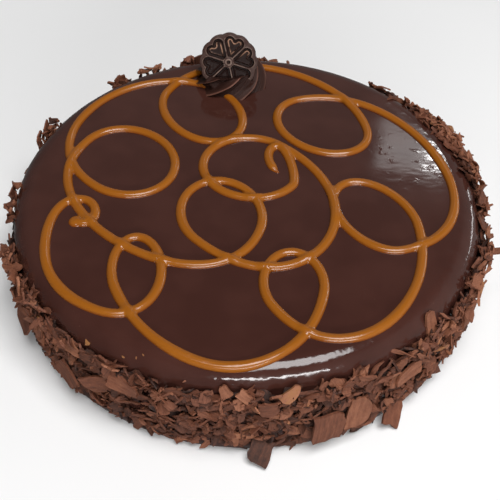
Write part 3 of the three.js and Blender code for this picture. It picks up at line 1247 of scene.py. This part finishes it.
@dataclass
class ShavedSide:
    """The layer of broken chocolate round the side of the cake.

    Sizes are in millimetres and angles in degrees. The clumps are so many per metre, and a wave of the
    layer's top has a height and a number of features per radian. A tone goes from dark 0 to pale 1; besides
    each shaving's own colour it holds painted shade and light: darker for shavings sunk deep in the layer
    or under a slab, paler for those that stand out or lie over the shoulder.
    """

    body: GlazedBody
    seed: int = 2209
    bottom: float = 4.0
    slope: float = 18.0
    ceiling: float = 53.0
    clumps: float = 48.0
    furthest: float = 12.5
    broad_wave: Pair = (1.8, 6.0)
    fine_wave: Pair = (1.4, 21.0)
    plates: int = 1500
    slivers: int = 1150
    curls: int = 260
    crumbs: int = 1900
    thickness: Pair = (0.5, 1.1)
    slab_thickness: float = 1.2
    height_bias: float = 0.9
    low_reach: float = 0.45
    sink: float = 0.55
    tip: Pair = (-6.0, 20.0)
    lean: Pair = (0.0, 1.1)
    swing: float = 18.0
    turn: float = 42.0
    wild_share: float = 0.2
    wild_tip: Pair = (-45.0, 50.0)
    wild_swing: Pair = (-50.0, 50.0)
    # Painted shade and light in the tones: sunk shavings darker, outer ones and those over the shoulder
    # paler.
    outer_lit_tone: float = 0.46
    shoulder_lit_tone: float = 0.12
    tone_spread: float = 0.12
    pale_share: float = 0.05
    pale_step: float = 0.3
    shelter: float = 0.42
    shelter_margin: float = 2.0
    shelter_depth: float = 0.4
    heap_tip: Pair = (-6.0, 30.0)
    heap_lean: Pair = (0.3, 1.0)
    heap_swing: float = 28.0
    heap_tone: float = 0.33
    # Painted light: heaped shavings that stand farther out are paler.
    heap_lit_rise: float = 0.05
    heap_tone_spread: float = 0.13
    bit_rise: float = 0.3
    bit_tip: float = 0.4
    bit_thickness: float = 0.6
    stations: tuple[Station, ...] = (
        Station(-180, 1.2, 5.0, 38),
        Station(-160, 2.0, 6.0, 39),
        Station(-140, 4.5, 4.0, 41),
        Station(-115, 5.4, 3.0, 42.2),
        Station(-90, 5.6, 2.5, 42.4),
        Station(-60, 5.6, 2.5, 43.2),
        Station(-30, 5.4, 3.0, 43.6),
        Station(-4, 3.8, 4.5, 42.5),
        Station(12, 5.0, 4.0, 46.4),
        Station(30, 4.4, 4.0, 48.0),
        Station(46, 2.0, 3.0, 43.5),
        Station(62, 1.4, 3.0, 40.5),
        Station(90, 1.8, 4.5, 41.5),
        Station(130, 1.5, 5.0, 40.5),
        Station(180, 1.2, 5.5, 38),
    )
    # The listed tones mix each shaving's own colour with painted shade and light; the low shaving at -86.1
    # degrees is set dark as painted shade.
    named: tuple[Shaving, ...] = (
        Shaving(-72.2, 19, 5.6, (18.5, 15), 86, -4, 4, 0.40),
        Shaving(-65.0, 21.5, 4.2, (16, 12), 80, -8, -10, 0.58),
        Shaving(-86.1, 6.5, 4.8, (13, 11), 64, -52, 0, 0.12),
        Shaving(-55.6, 6, 4.0, (13, 10), 52, -48, 10, 0.42),
        Shaving(-80.4, 44.2, 2.6, (9, 5.5), 40, -26, 0, 0.82),
        Shaving(-89.7, 44.0, 2.2, (7, 4.5), -40, -22, 0, 0.72),
        Shaving(-93.8, 44.6, 0.8, (6, 4.5), -60, -20, 0, 0.6),
        Shaving(-84.9, 36.5, 4.0, (8, 7.5), 0, -10, 0, 0.34),
        Shaving(-52.9, 31.9, 4.0, (14, 6), 10, -16, 0, 0.55),
        Shaving(-44.2, 46, -1.0, (13, 6.5), 84, -24, 0, 0.55),
        Shaving(-122.3, 28, 4.4, (13, 9), 30, -10, 6, 0.40),
        Shaving(-115.5, 36.1, 3.8, (15, 8), -10, -14, 0, 0.45),
        Shaving(-131.7, 18.2, 4.4, (14, 9), -34, -8, 0, 0.38),
        Shaving(-151, 18, 4.0, (15, 9), -16, -28, 0, 0.32),
        Shaving(-145.7, 40, 2.6, (12, 6), 62, -12, 0, 0.42),
        Shaving(-164, 38, 4.4, (13, 3.5), 30, 4, 70, 0.45),
        Shaving(-12.5, 38.5, 5, (14, 4), 6, 8, -80, 0.5),
        Shaving(-29, 29, 4.0, (14, 8), 70, -8, -12, 0.5),
        Shaving(5, 42, 3.4, (11, 6), 30, -22, 12, 0.5),
        Shaving(16, 44, 3.6, (12, 8), 70, -30, 10, 0.5),
        Shaving(27, 46.5, 4.0, (14, 10), 12, -34, 0, 0.5),
        Shaving(34, 47.5, 2.4, (13, 5), 4, -40, 0, 0.6),
        Shaving(51.6, 45.5, 2.4, (13, 6), -6, -24, 0, 0.5),
        Shaving(92, 34, 4.4, (12, 8), -10, -20, 10, 0.5),
        Shaving(104, 46, 1.2, (13, 8), 82, 6, 0, 0.25),
        Shaving(107, 45.5, 2.4, (12, 6), 70, 2, 0, 0.35),
        Shaving(128, 44.5, 1.8, (13, 7), 76, 8, 0, 0.4),
        Shaving(151, 45, 6, (17, 3), 24, 10, 66, 0.4),
        Shaving(178, 38, 1.6, (10, 5), 24, 6, 50, 0.45),
    )
    heaps: tuple[Clump, ...] = (
        Clump(25, 51.0, 5.0, 1.7, 7.5, 120),
        Clump(12, 48.5, 4.0, 2.0, 5.5, 60),
        Clump(37, 49.0, 3.5, 1.6, 4.0, 36),
        Clump(47, 46.0, 3.5, 2.2, 3.0, 14),
        Clump(1, 44.0, 4.0, 3.0, 4.5, 24),
        Clump(-14, 41.0, 5.0, 4.0, 6.0, 36),
        Clump(-27, 41.0, 4.0, 4.0, 5.5, 32),
        Clump(-40, 42.0, 5.0, 3.0, 4.5, 36),
        Clump(-66, 42.5, 6.0, 2.0, 3.5, 26),
        Clump(-90, 41.5, 5.0, 1.5, 3.0, 16),
        Clump(-118, 41.0, 6.0, 2.0, 3.0, 20),
        Clump(-148, 40.5, 6.0, 3.5, 5.0, 46),
        Clump(-158, 43.0, 2.5, 3.0, 6.0, 22),
        Clump(179, 44.0, 1.5, 2.5, 2.5, 9),
        Clump(-174, 44.0, 1.5, 2.0, 2.2, 8),
        Clump(154, 44.0, 2.5, 2.5, 6.0, 15),
        Clump(129, 45.5, 2.0, 2.0, 6.0, 14),
        Clump(119, 45.5, 2.5, 2.0, 5.5, 14),
        Clump(108, 46.0, 2.0, 2.0, 6.0, 14),
        Clump(86, 45.0, 3.0, 2.0, 3.0, 14),
    )
    glaze_bits: tuple[tuple[float, float, float, float], ...] = (
        (-126.2, 114.6, 4.4, 1.0),
        (-116.7, 113.9, 1.4, 0.95),
        (-113.7, 112.9, 1.3, 0.9),
        (-112.4, 111.4, 1.1, 0.9),
        (-102.4, 114.7, 1.8, 0.6),
        (-45.3, 112.8, 1.5, 0.7),
        (30.6, 108.5, 1.2, 0.6),
    )

    def placed(self, shaving: Shaving) -> Matrix:
        """Where a shaving lies: along the side with its face outwards, then turned, tipped and swung.

        Args:
            shaving: the shaving.

        Returns:
            Its matrix.
        """
        outward = Vector((math.cos(math.radians(shaving.angle)), math.sin(math.radians(shaving.angle)), 0.0))
        upward = Vector((0.0, 0.0, 1.0))
        basis = Matrix((upward.cross(outward), upward, outward)).transposed()
        tip = Matrix.Rotation(math.radians(shaving.tip), 3, "X")
        swing = Matrix.Rotation(math.radians(shaving.swing), 3, "Y")
        turn = Matrix.Rotation(math.radians(shaving.turn), 3, "Z")
        height = shaving.height * MM
        radius = self.body.coat_radius + shaving.lift * MM
        over = max(0.0, height - (self.body.height - self.body.shoulder))
        inward = self.body.shoulder - math.sqrt(max(0.0, self.body.shoulder**2 - over**2))
        place = outward * (radius - inward)
        place.z = height
        return Matrix.LocRotScale(place, (basis @ tip @ swing @ turn).to_quaternion(), None)

    def layer_at(self, angle: float) -> tuple[float, float, float]:
        """Reach, clumps and top of the layer at an angle, in millimetres."""
        after = next(index for index, stop in enumerate(self.stations) if stop.angle >= angle)
        high = self.stations[after]
        low = self.stations[max(0, after - 1)]
        share = smooth_step(angle, low.angle, high.angle) if high.angle > low.angle else 0.0
        pairs = ((low.reach, high.reach), (low.clump, high.clump), (low.top, high.top))
        reach, clump, top = (first + (second - first) * share for first, second in pairs)
        here = Vector((math.cos(math.radians(angle)), math.sin(math.radians(angle)), 0.0))
        broad, broad_scale = self.broad_wave
        fine, fine_scale = self.fine_wave
        return reach, clump, top + broad * ragged(here, broad_scale, 4.0) + fine * ragged(here, fine_scale)

    def under_named(self, angle: float, height: float) -> bool:
        """Whether a place lies under one of the single shavings."""
        for shaving in self.named:
            aside = math.radians(angle - shaving.angle) * self.body.coat_radius / MM
            cover = self.shelter * sum(shaving.size) * 0.5 + self.shelter_margin
            if math.hypot(aside, height - shaving.height) < cover:
                return True
        return False

    def over_shoulder(self, height: float) -> float:
        """How far over the round shoulder a height in millimetres is, from 0 to 1."""
        return max(0.0, height * MM - (self.body.height - self.body.shoulder)) / self.body.shoulder

    def lean_at(self, height: float) -> float:
        """The tip in degrees that lays a shaving flat on the shoulder at a height in millimetres."""
        return -math.degrees(math.asin(min(1.0, self.over_shoulder(height))))

    def lay(self, pile: Pile, shaving: Shaving, limit: float) -> None:
        """Add a loose shaving to a pile.

        Args:
            pile: the pile.
            shaving: the shaving.
            limit: how far from the coat it may reach, in millimetres.
        """
        length, width = shaving.size
        thick = pile.dice.uniform(*self.thickness)
        tone = min(1.0, max(0.0, shaving.tone))
        outer = self.body.coat_radius + limit * MM
        pile.add(self.placed(shaving), (length * MM, width * MM, thick * MM), tone, outer)

    def heap(self, piles: Sequence[Pile], clump: Clump) -> None:
        """Heap mixed shavings up at one place.

        Args:
            piles: the piles that the shavings join.
            clump: the heap.
        """
        for index in range(clump.count):
            pile = piles[index % len(piles)]
            dice = pile.dice
            height = min(self.ceiling, max(self.bottom, dice.gauss(clump.height, clump.depth)))
            lean = self.lean_at(height) * dice.uniform(*self.heap_lean)
            lift = clump.reach * dice.random()
            # Painted light: the farther a heaped shaving stands out, the paler its tone.
            tone = self.heap_tone + self.heap_lit_rise * lift + dice.gauss(0.0, self.heap_tone_spread)
            angle, turn = dice.gauss(clump.angle, clump.breadth), dice.uniform(-90.0, 90.0)
            tip, swing = dice.gauss(*self.heap_tip) + lean, dice.gauss(0.0, self.heap_swing)
            loose = Shaving(angle, height, lift, pile.draw_size(), turn, tip, swing, tone)
            self.lay(pile, loose, self.furthest)

    def scatter(self, pile: Pile, count: int) -> None:
        """Strew shavings of one kind over the side.

        Args:
            pile: the pile that they join.
            count: how many.
        """
        dice = pile.dice
        for index in range(count):
            angle = 360.0 * (index + dice.random()) / count - 180.0
            reach, clump, top = self.layer_at(angle)
            size = pile.draw_size()
            height = self.bottom + (top - self.bottom) * dice.random() ** self.height_bias
            bare = Shaving(angle, height, 0.0, size, 0.0, 0.0, 0.0)
            swell = max(0.0, ragged(self.placed(bare).translation, self.clumps, 2.0))
            rise = smooth_step(height, self.bottom, self.slope)
            low_share = self.low_reach + (1.0 - self.low_reach) * rise
            limit = (reach + clump * 2.0 * swell) * low_share
            depth = dice.random()
            wild = dice.random() < self.wild_share
            # Under a slab a shaving sinks deeper, so the tone below paints it darker as shade.
            if self.under_named(angle, height):
                depth, wild = self.shelter_depth * depth, False
            lean = self.lean_at(height) * dice.uniform(*self.lean)
            tip = dice.gauss(*self.tip) + lean + (dice.uniform(*self.wild_tip) if wild else 0.0)
            swing = dice.gauss(0.0, self.swing) + (dice.uniform(*self.wild_swing) if wild else 0.0)
            # Painted shade and light: the tone darkens for shavings sunk deep in the layer and pales over
            # the shoulder; the spread and the few pale ones are the shavings' own.
            tone = self.outer_lit_tone * depth + self.shoulder_lit_tone * self.over_shoulder(height)
            tone += dice.gauss(0.0, self.tone_spread)
            if dice.random() < self.pale_share:
                tone += self.pale_step
            turn = dice.gauss(0.0, self.turn)
            lift = self.sink * limit * depth
            self.lay(pile, Shaving(angle, height, lift, size, turn, tip, swing, tone), limit)

    def build(self) -> list[bpy.types.Object]:
        """Build and dress the layer, one piece for each kind of shaving.

        Returns:
            The pieces.
        """
        dice = random.Random(self.seed)
        noise.seed_set(self.seed)
        finish = BrokenChocolate().material()
        plates = Pile("shaved_plates", Cut.PLATE, dice, (4.0, 10.5), (3.0, 6.5))
        slivers = Pile("shaved_slivers", Cut.SLIVER, dice, (5.0, 12.5), (1.2, 2.8))
        curls = Pile("shaved_curls", Cut.CURL, dice, (4.0, 8.0), (2.0, 4.0))
        crumbs = Pile("shaved_crumbs", Cut.CRUMB, dice, (1.0, 3.4), (0.8, 2.4))
        slabs = Pile("shaved_slabs", Cut.SLAB, dice, (8.0, 18.0), (4.0, 15.0))
        slabs.grain = (9.0 * MM, 1.5 * MM)
        self.scatter(plates, self.plates)
        self.scatter(slivers, self.slivers)
        self.scatter(curls, self.curls)
        self.scatter(crumbs, self.crumbs)
        for clump in self.heaps:
            self.heap((plates, slivers, crumbs, plates, slivers, curls), clump)
        outer = self.body.coat_radius + self.furthest * MM
        for shaving in self.named:
            size = (shaving.size[0] * MM, shaving.size[1] * MM, self.slab_thickness * MM)
            slabs.add(self.placed(shaving), size, shaving.tone, outer)
        for angle, radius, size, tone in self.glaze_bits:
            x, y = radius * MM * math.cos(math.radians(angle)), radius * MM * math.sin(math.radians(angle))
            height = self.body.height_at(math.hypot(x, y)) + self.bit_rise * MM
            spin = Euler((self.bit_tip, 0.0, dice.uniform(0.0, 6.0)))
            place = Matrix.LocRotScale(Vector((x, y, height)), spin, None)
            crumbs.add(place, (size * MM, 0.5 * size * MM, self.bit_thickness * MM), tone, outer)
        return [pile.build(finish) for pile in (plates, slivers, curls, crumbs, slabs)]


# ---------------------------------------------------------------- moulded wheel


@dataclass
class MouldedWheel:
    """The scalloped wheel of moulded chocolate with six heart-shaped pockets."""

    middle: Triple = (-11.6 * MM, 83.8 * MM, 68.5 * MM)
    radius: float = 15.8 * MM
    thickness: float = 4.2 * MM
    edge: float = 0.5 * MM
    lean: float = 30.0
    turn: float = 4.0
    spin: float = 16.0
    scallops: int = 12
    scallop_depth: float = 0.7 * MM
    pocket_depth: float = 2.1 * MM
    hearts: int = 6
    heart_near: float = 3.0 * MM
    lobe_radius: float = 2.7 * MM
    lobe_middle: Pair = (10.8 * MM, 2.48 * MM)
    spoke: float = 1.1 * MM
    inner_inset: float = 1.35 * MM
    inner_rise: float = 0.95 * MM
    hub_radius: float = 2.1 * MM
    hub_rise: float = 0.4 * MM
    dimple: float = 1.15 * MM
    dimple_depth: float = 1.6 * MM
    wall: float = 0.6 * MM
    lip: float = 0.28 * MM
    lip_offset: float = 0.45 * MM
    edge_offset: float = 0.25 * MM
    edge_width: float = 0.3 * MM
    inner_floor: float = 0.35
    sides: int = 300
    rings: int = 70

    def half_section(self) -> list[Pair]:
        """The plain disc's half section, from the middle of the back to the middle of the face.

        Returns:
            Radius and height of each corner.
        """
        half, outer = 0.5 * self.thickness, self.radius
        back = [(0.0, -half), (0.5 * outer, -half), (outer - self.edge, -half)]
        rim = [
            (outer - 0.3 * self.edge, -half + 0.3 * self.edge),
            (outer, -half + self.edge),
            (outer, 0.0),
            (outer, half - self.edge),
            (outer - 0.3 * self.edge, half - 0.3 * self.edge),
        ]
        inner = outer - self.edge
        face = [(inner * (1.0 - ring / self.rings), half) for ring in range(self.rings + 1)]
        return [*back, *rim, *face]

    def inside_heart(self, x: float, y: float) -> bool:
        """Whether a point is in the heart that is drawn along +X, its point towards the hub."""
        along, across = self.lobe_middle
        half = math.pi / self.hearts
        side = abs(y) * math.cos(half) - x * math.sin(half) + 0.5 * self.spoke
        beyond = (x - along) * math.cos(half) + (abs(y) - across) * math.sin(half)
        wedge = max(side, x - along, beyond) < 0.0
        lobe = math.hypot(x - along, abs(y) - across) < self.lobe_radius
        return x > self.heart_near and (wedge or lobe)

    def heart_outline(self) -> KDTree:
        """Points along the outline of the heart that is drawn along +X.

        Returns:
            A search tree of the points.
        """
        along, across = self.lobe_middle
        half = math.pi / self.hearts
        near = (self.heart_near * math.sin(half) - 0.5 * self.spoke) / math.cos(half)
        start = Vector((self.heart_near, max(0.0, near), 0.0))
        lobe = Vector((along, across, 0.0))
        first = 0.5 * math.pi + half
        cleft = math.acos(min(1.0, across / self.lobe_radius))
        last = -0.5 * math.pi + cleft
        turns = [first + (last - first) * step / 80 for step in range(81)]
        arc = [lobe + self.lobe_radius * Vector((math.cos(turn), math.sin(turn), 0.0)) for turn in turns]
        upper = [start.lerp(arc[0], step / 60) for step in range(60)] + arc
        points = upper + [Vector((point.x, -point.y, 0.0)) for point in upper]
        tree = KDTree(len(points))
        for index, point in enumerate(points):
            tree.insert(point, index)
        tree.balance()
        return tree

    def pressed(self, radius: float, angle: float, outline: KDTree) -> tuple[float, float]:
        """Relief of the face at one place.

        Args:
            radius: the distance from the hub.
            angle: the angle round it.
            outline: the heart's outline.

        Returns:
            The height over the plain face, and how near the place is to an inner heart's edge.
        """
        sector = 2.0 * math.pi / self.hearts
        folded = (angle % sector) - 0.5 * sector
        x, y = radius * math.cos(folded), radius * math.sin(folded)
        distance = outline.find((x, y, 0.0))[2]
        depth = distance if self.inside_heart(x, y) else -distance
        height = -self.pocket_depth * smooth_step(depth, -0.5 * self.wall, 0.5 * self.wall)
        height += self.lip * math.exp(-(((depth + self.lip_offset) / self.edge_width) ** 2))
        edge = math.exp(-(((depth - self.inner_inset - self.edge_offset) / self.edge_width) ** 2))
        inner = smooth_step(depth, self.inner_inset - 0.1 * MM, self.inner_inset + 0.3 * MM)
        height += self.inner_rise * max(edge, self.inner_floor * inner)
        hub = math.sqrt(max(0.0, 1.0 - (radius / self.hub_radius) ** 2))
        hollow = self.dimple_depth * smooth_fall(radius, 0.5 * self.dimple, self.dimple)
        return height + self.hub_rise * hub - hollow, edge

    def mould(self, work: bmesh.types.BMesh) -> None:
        """Press the hearts and the hub into the plain disc and scallop its rim.

        Args:
            work: the disc, face up.
        """
        outline = self.heart_outline()
        relief = work.verts.layers.float.new("relief")
        glint = work.verts.layers.float.new("glint")
        for corner in work.verts:
            x, y, z = corner.co
            radius, angle = math.hypot(x, y), math.atan2(y, x)
            height, edge = 0.0, 0.0
            if z > 0.5 * self.thickness - 0.01 * MM:
                height, edge = self.pressed(radius, angle, outline)
            corner[relief] = max(0.0, 1.0 + height / self.pocket_depth)
            # The glint paints a highlight on the inner heart edges of the upper hearts, where light falls.
            upper = smooth_step(radius * math.cos(angle + math.radians(self.spin)), 2.0 * MM, 7.0 * MM)
            corner[glint] = edge * upper
            lobe = abs(math.sin(0.5 * self.scallops * angle))
            inset = self.scallop_depth * (1.0 - lobe) * smooth_step(radius, 0.78 * self.radius, self.radius)
            share = (radius - inset) / radius if radius > 0.0 else 1.0
            corner.co = Vector((x * share, y * share, z + height))

    def stand(self) -> Matrix:
        """Where the wheel stands: leaning back, its face to the front."""
        lean = Matrix.Rotation(math.radians(90.0 - self.lean), 4, "X")
        turn = Matrix.Rotation(math.radians(-self.turn), 4, "Z")
        return Matrix.Translation(self.middle) @ turn @ lean

    def build(self) -> bpy.types.Object:
        """Build and dress the wheel.

        Returns:
            The piece.
        """
        work = revolved(self.half_section(), self.sides)
        self.mould(work)
        spin = Matrix.Rotation(math.radians(90.0 + self.spin), 4, "Z")
        bmesh.ops.transform(work, matrix=self.stand() @ spin, verts=work.verts[:])
        finish = MouldedChocolate().material()
        return finished_piece("moulded_wheel", work, finish, "wheel")


# ---------------------------------------------------------------- rosette


@dataclass
class PipedRosette:
    """A rosette of cream whose thin ridges wind up round the wheel."""

    body: GlazedBody
    wheel: MouldedWheel
    middle: Pair = (-10.5 * MM, 89.5 * MM)
    radius: float = 21.4 * MM
    height: float = 18.5 * MM
    below: float = 5.0 * MM
    ridges: tuple[float, ...] = (-156.0, -98.0, -52.0, -8.0, 34.0, 76.0, 124.0, 166.0)
    ridge_depth: float = 0.16
    ridge_width: float = 0.6
    roundness: float = 2.2
    narrowing: float = 0.12
    twist: float = 132.0
    curl: float = 8.0
    lip: float = 0.035
    lip_unevenness: float = 0.9
    ruffle: float = 0.04
    stroke: float = 0.014
    crest_lift: float = 1.0 * MM
    pull_down: float = 0.95
    view_radius: float = 30.0 * MM
    view_aside: float = -2.0 * MM
    cover_depth: float = 9.1 * MM
    over_face: float = 0.5 * MM
    rim_reach: float = 2.5 * MM
    grain: float = 12.0
    sides: int = 420
    rings: int = 80

    def half_section(self) -> list[Pair]:
        """Half section of a mound of unit radius and height.

        Returns:
            Radius and height of each corner.
        """
        section = [(0.0, 0.0)]
        for ring in range(self.rings):
            share = math.sin(0.5 * math.pi * ring / self.rings)
            swell = math.sqrt(1.0 - share**self.roundness)
            section.append((swell * (1.0 - self.narrowing * share), share))
        section.append((0.0, 1.0))
        return section

    def furrow_at(self, angle: float) -> float:
        """How deep the surface lies between two ridges at an angle in degrees: 0 on a ridge."""
        after = next((ridge for ridge in self.ridges if ridge > angle), self.ridges[0] + 360.0)
        earlier = [ridge for ridge in self.ridges if ridge <= angle]
        before = earlier[-1] if earlier else self.ridges[-1] - 360.0
        share = (angle - before) / (after - before)
        return abs(math.sin(share * math.pi)) ** self.ridge_width

    def wound(self, place: Vector) -> tuple[Vector, float]:
        """Wind the ridges round the mound.

        Args:
            place: a point of the plain mound.

        Returns:
            The point of the rosette and how near it is to a crest, from 0 to 1.
        """
        angle = math.atan2(place.y, place.x)
        distance = math.hypot(place.x, place.y)
        furrow = self.furrow_at(math.degrees(angle))
        crest = 1.0 - furrow
        around = Vector((2.2 * math.cos(angle), 2.2 * math.sin(angle), 3.0 * place.z))
        strokes = Vector((9.0 * math.cos(angle), 9.0 * math.sin(angle), 1.5 * place.z))
        uneven = 1.0 + self.lip_unevenness * noise.noise(around * 3.0)
        ruffle = self.ruffle * noise.noise(around) + self.stroke * noise.noise(strokes)
        ruffle += self.lip * uneven * crest**4
        spread = distance * self.radius * (1.0 - self.ridge_depth * furrow + ruffle)
        turn = math.radians(self.twist * place.z + self.curl * (crest**2 - 1.0))
        x = self.middle[0] + spread * math.cos(angle + turn)
        y = self.middle[1] + spread * math.sin(angle + turn)
        rise = self.height + self.below
        lifted = place.z * rise
        lifted += self.crest_lift * crest**4 * distance * smooth_step(place.z, 0.15, 0.5)
        return Vector((x, y, self.body.height - self.below + lifted)), crest

    def opened(self, place: Vector, stand: Matrix, back: Matrix) -> Vector:
        """Keep the cream clear of the wheel's face above the edge that it covers.

        Args:
            place: a point of the rosette.
            stand: the wheel's place.
            back: its inverse.

        Returns:
            The point, moved down along the face where it stood in the way, and out over the rim below.
        """
        local = back @ place
        half = 0.5 * self.wheel.thickness
        aside = local.x - self.view_aside
        if local.z <= -half or abs(aside) >= self.view_radius:
            return place
        middle = self.view_radius - self.cover_depth
        edge = middle - math.sqrt(self.view_radius**2 - aside**2)
        above = max(0.0, local.y - edge)
        local.y -= self.pull_down * above * smooth_step(local.z, -half, -0.2 * half)
        rim = self.wheel.radius
        inside = smooth_fall(math.hypot(local.x, local.y), rim, rim + self.rim_reach)
        forward = max(0.0, half + self.over_face - local.z)
        local.z += forward * inside * smooth_step(local.z, -0.2 * half, 0.0)
        return stand @ local

    def build(self) -> bpy.types.Object:
        """Build and dress the rosette.

        Returns:
            The piece.
        """
        work = revolved(self.half_section(), self.sides)
        crest_layer = work.verts.layers.float.new("crest")
        grain_layer = work.verts.layers.float_vector.new("grain")
        stand = self.wheel.stand()
        back = stand.inverted()
        for corner in work.verts:
            round_the_mound = Vector((corner.co.x, corner.co.y)).normalized() * self.grain
            corner[grain_layer] = (*round_the_mound, corner.co.z)
            place, crest = self.wound(corner.co)
            corner.co = self.opened(place, stand, back)
            corner[crest_layer] = crest
        return finished_piece("piped_rosette", work, PipedCream().material(), "rosette")


# ---------------------------------------------------------------- studio


@dataclass(frozen=True)
class SoftBox:
    """An area light by the direction that it shines from."""

    name: str
    bearing: float
    elevation: float
    distance: float
    size: Pair
    power: float
    aim: Triple = (0.0, 0.0, 0.04)

    def build(self) -> None:
        """Hang the light and turn it to its aim."""
        lamp = bpy.data.lights.new(self.name, "AREA")
        lamp.shape = "RECTANGLE"
        lamp.size, lamp.size_y = self.size
        lamp.energy = self.power
        light = bpy.data.objects.new(self.name, lamp)
        bearing, elevation = math.radians(self.bearing), math.radians(self.elevation)
        flat = math.cos(elevation)
        away = Vector((flat * math.sin(bearing), flat * math.cos(bearing), math.sin(elevation)))
        light.location = Vector(self.aim) + away * self.distance
        light.rotation_euler = away.to_track_quat("Z", "Y").to_euler()
        bpy.context.scene.collection.objects.link(light)


@dataclass
class Studio:
    """The pale table, the soft lights and the camera.

    Bearings are degrees clockwise from +Y, the back of the cake.
    """

    table: float = 6.0
    zenith: Colour = (0.060, 0.060, 0.062)
    left: Colour = (0.06, 0.06, 0.062)
    right: Colour = (0.34, 0.335, 0.33)
    dimming: Pair = (0.55, 0.80)
    camera_distance: float = 497.17 * MM
    camera_elevation: float = 46.957
    camera_roll: float = 0.0200616
    camera_yaw: float = 0.00401233
    camera_pitch: float = -0.0113342
    lens: float = 66.706
    lights: tuple[SoftBox, ...] = (
        SoftBox("window", 13.0, 39.0, 1.6, (0.16, 0.11), 0.14, (0.086, 0.026, 0.053)),
        SoftBox("window_core", 15.5, 39.0, 1.6, (0.05, 0.014), 0.14, (0.088, 0.022, 0.053)),
        SoftBox("ceiling", 150.0, 70.0, 1.6, (1.0, 0.8), 25.0),
        SoftBox("front_strip", 168.0, 17.0, 2.0, (1.5, 0.15), 19.0),
        SoftBox("right_wall", 55.0, 5.0, 1.8, (0.9, 0.08), 2.2),
    )

    def build_table(self) -> None:
        """Lay the table under the cake."""
        work = bmesh.new()
        bmesh.ops.create_grid(work, x_segments=1, y_segments=1, size=self.table)
        mesh = bpy.data.meshes.new("table")
        work.to_mesh(mesh)
        work.free()
        mesh.materials.append(PaleTable().material())
        table = bpy.data.objects.new("table", mesh)
        bpy.context.scene.collection.objects.link(table)
        table.visible_glossy = False
        table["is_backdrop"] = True

    def build_world(self) -> None:
        """Fill the room with soft grey light: dark on the left, brighter on the right, dim overhead."""
        graph = Graph(bpy.data.worlds.new("room"))
        across, _, height = graph.axes(graph.direction)
        share = graph.value("MapRange", None, {"Value": across, "From Min": -1.0})
        sides = graph.colours(share, [(0.0, self.left), (1.0, self.right)])
        bpy.context.scene.world = graph.room(graph.mix(height.ramp(*self.dimming), sides, self.zenith))

    def build_camera(self) -> None:
        """Stand the camera at the photograph's viewing angle."""
        elevation = math.radians(self.camera_elevation)
        place = Vector((0.0, -math.cos(elevation), math.sin(elevation))) * self.camera_distance
        forward = -place.normalized()
        right = Vector((1.0, 0.0, 0.0))
        look = Matrix((right, right.cross(forward), -forward))
        yaw = Matrix.Rotation(self.camera_yaw, 3, "Y")
        pitch = Matrix.Rotation(self.camera_pitch, 3, "X")
        roll = Matrix.Rotation(-self.camera_roll, 3, "Z")
        lens = bpy.data.cameras.new("camera")
        lens.lens = self.lens
        camera = bpy.data.objects.new("camera", lens)
        camera.matrix_world = Matrix.Translation(place) @ (roll @ pitch @ yaw @ look).transposed().to_4x4()
        bpy.context.scene.collection.objects.link(camera)
        bpy.context.scene.camera = camera

    def build(self) -> None:
        """Set up the whole studio."""
        self.build_table()
        self.build_world()
        self.build_camera()
        for light in self.lights:
            light.build()
        bpy.context.scene.view_settings.view_transform = "Standard"
        log.info("studio: %d lights", len(self.lights))


def main() -> None:
    """Build the cake and its studio, and measure the whole object's size before and after."""
    body = GlazedBody()
    wheel = MouldedWheel()
    body.build()
    CaramelLine(body).build()
    ShavedSide(body).build()
    wheel.build()
    PipedRosette(body, wheel).build()
    Studio().build()
    boxes = {"before": BOUNDS_BEFORE, "after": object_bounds()}
    plain = {name: [list(corner) for corner in box] for name, box in boxes.items()}


if __name__ == "__main__":
    main()
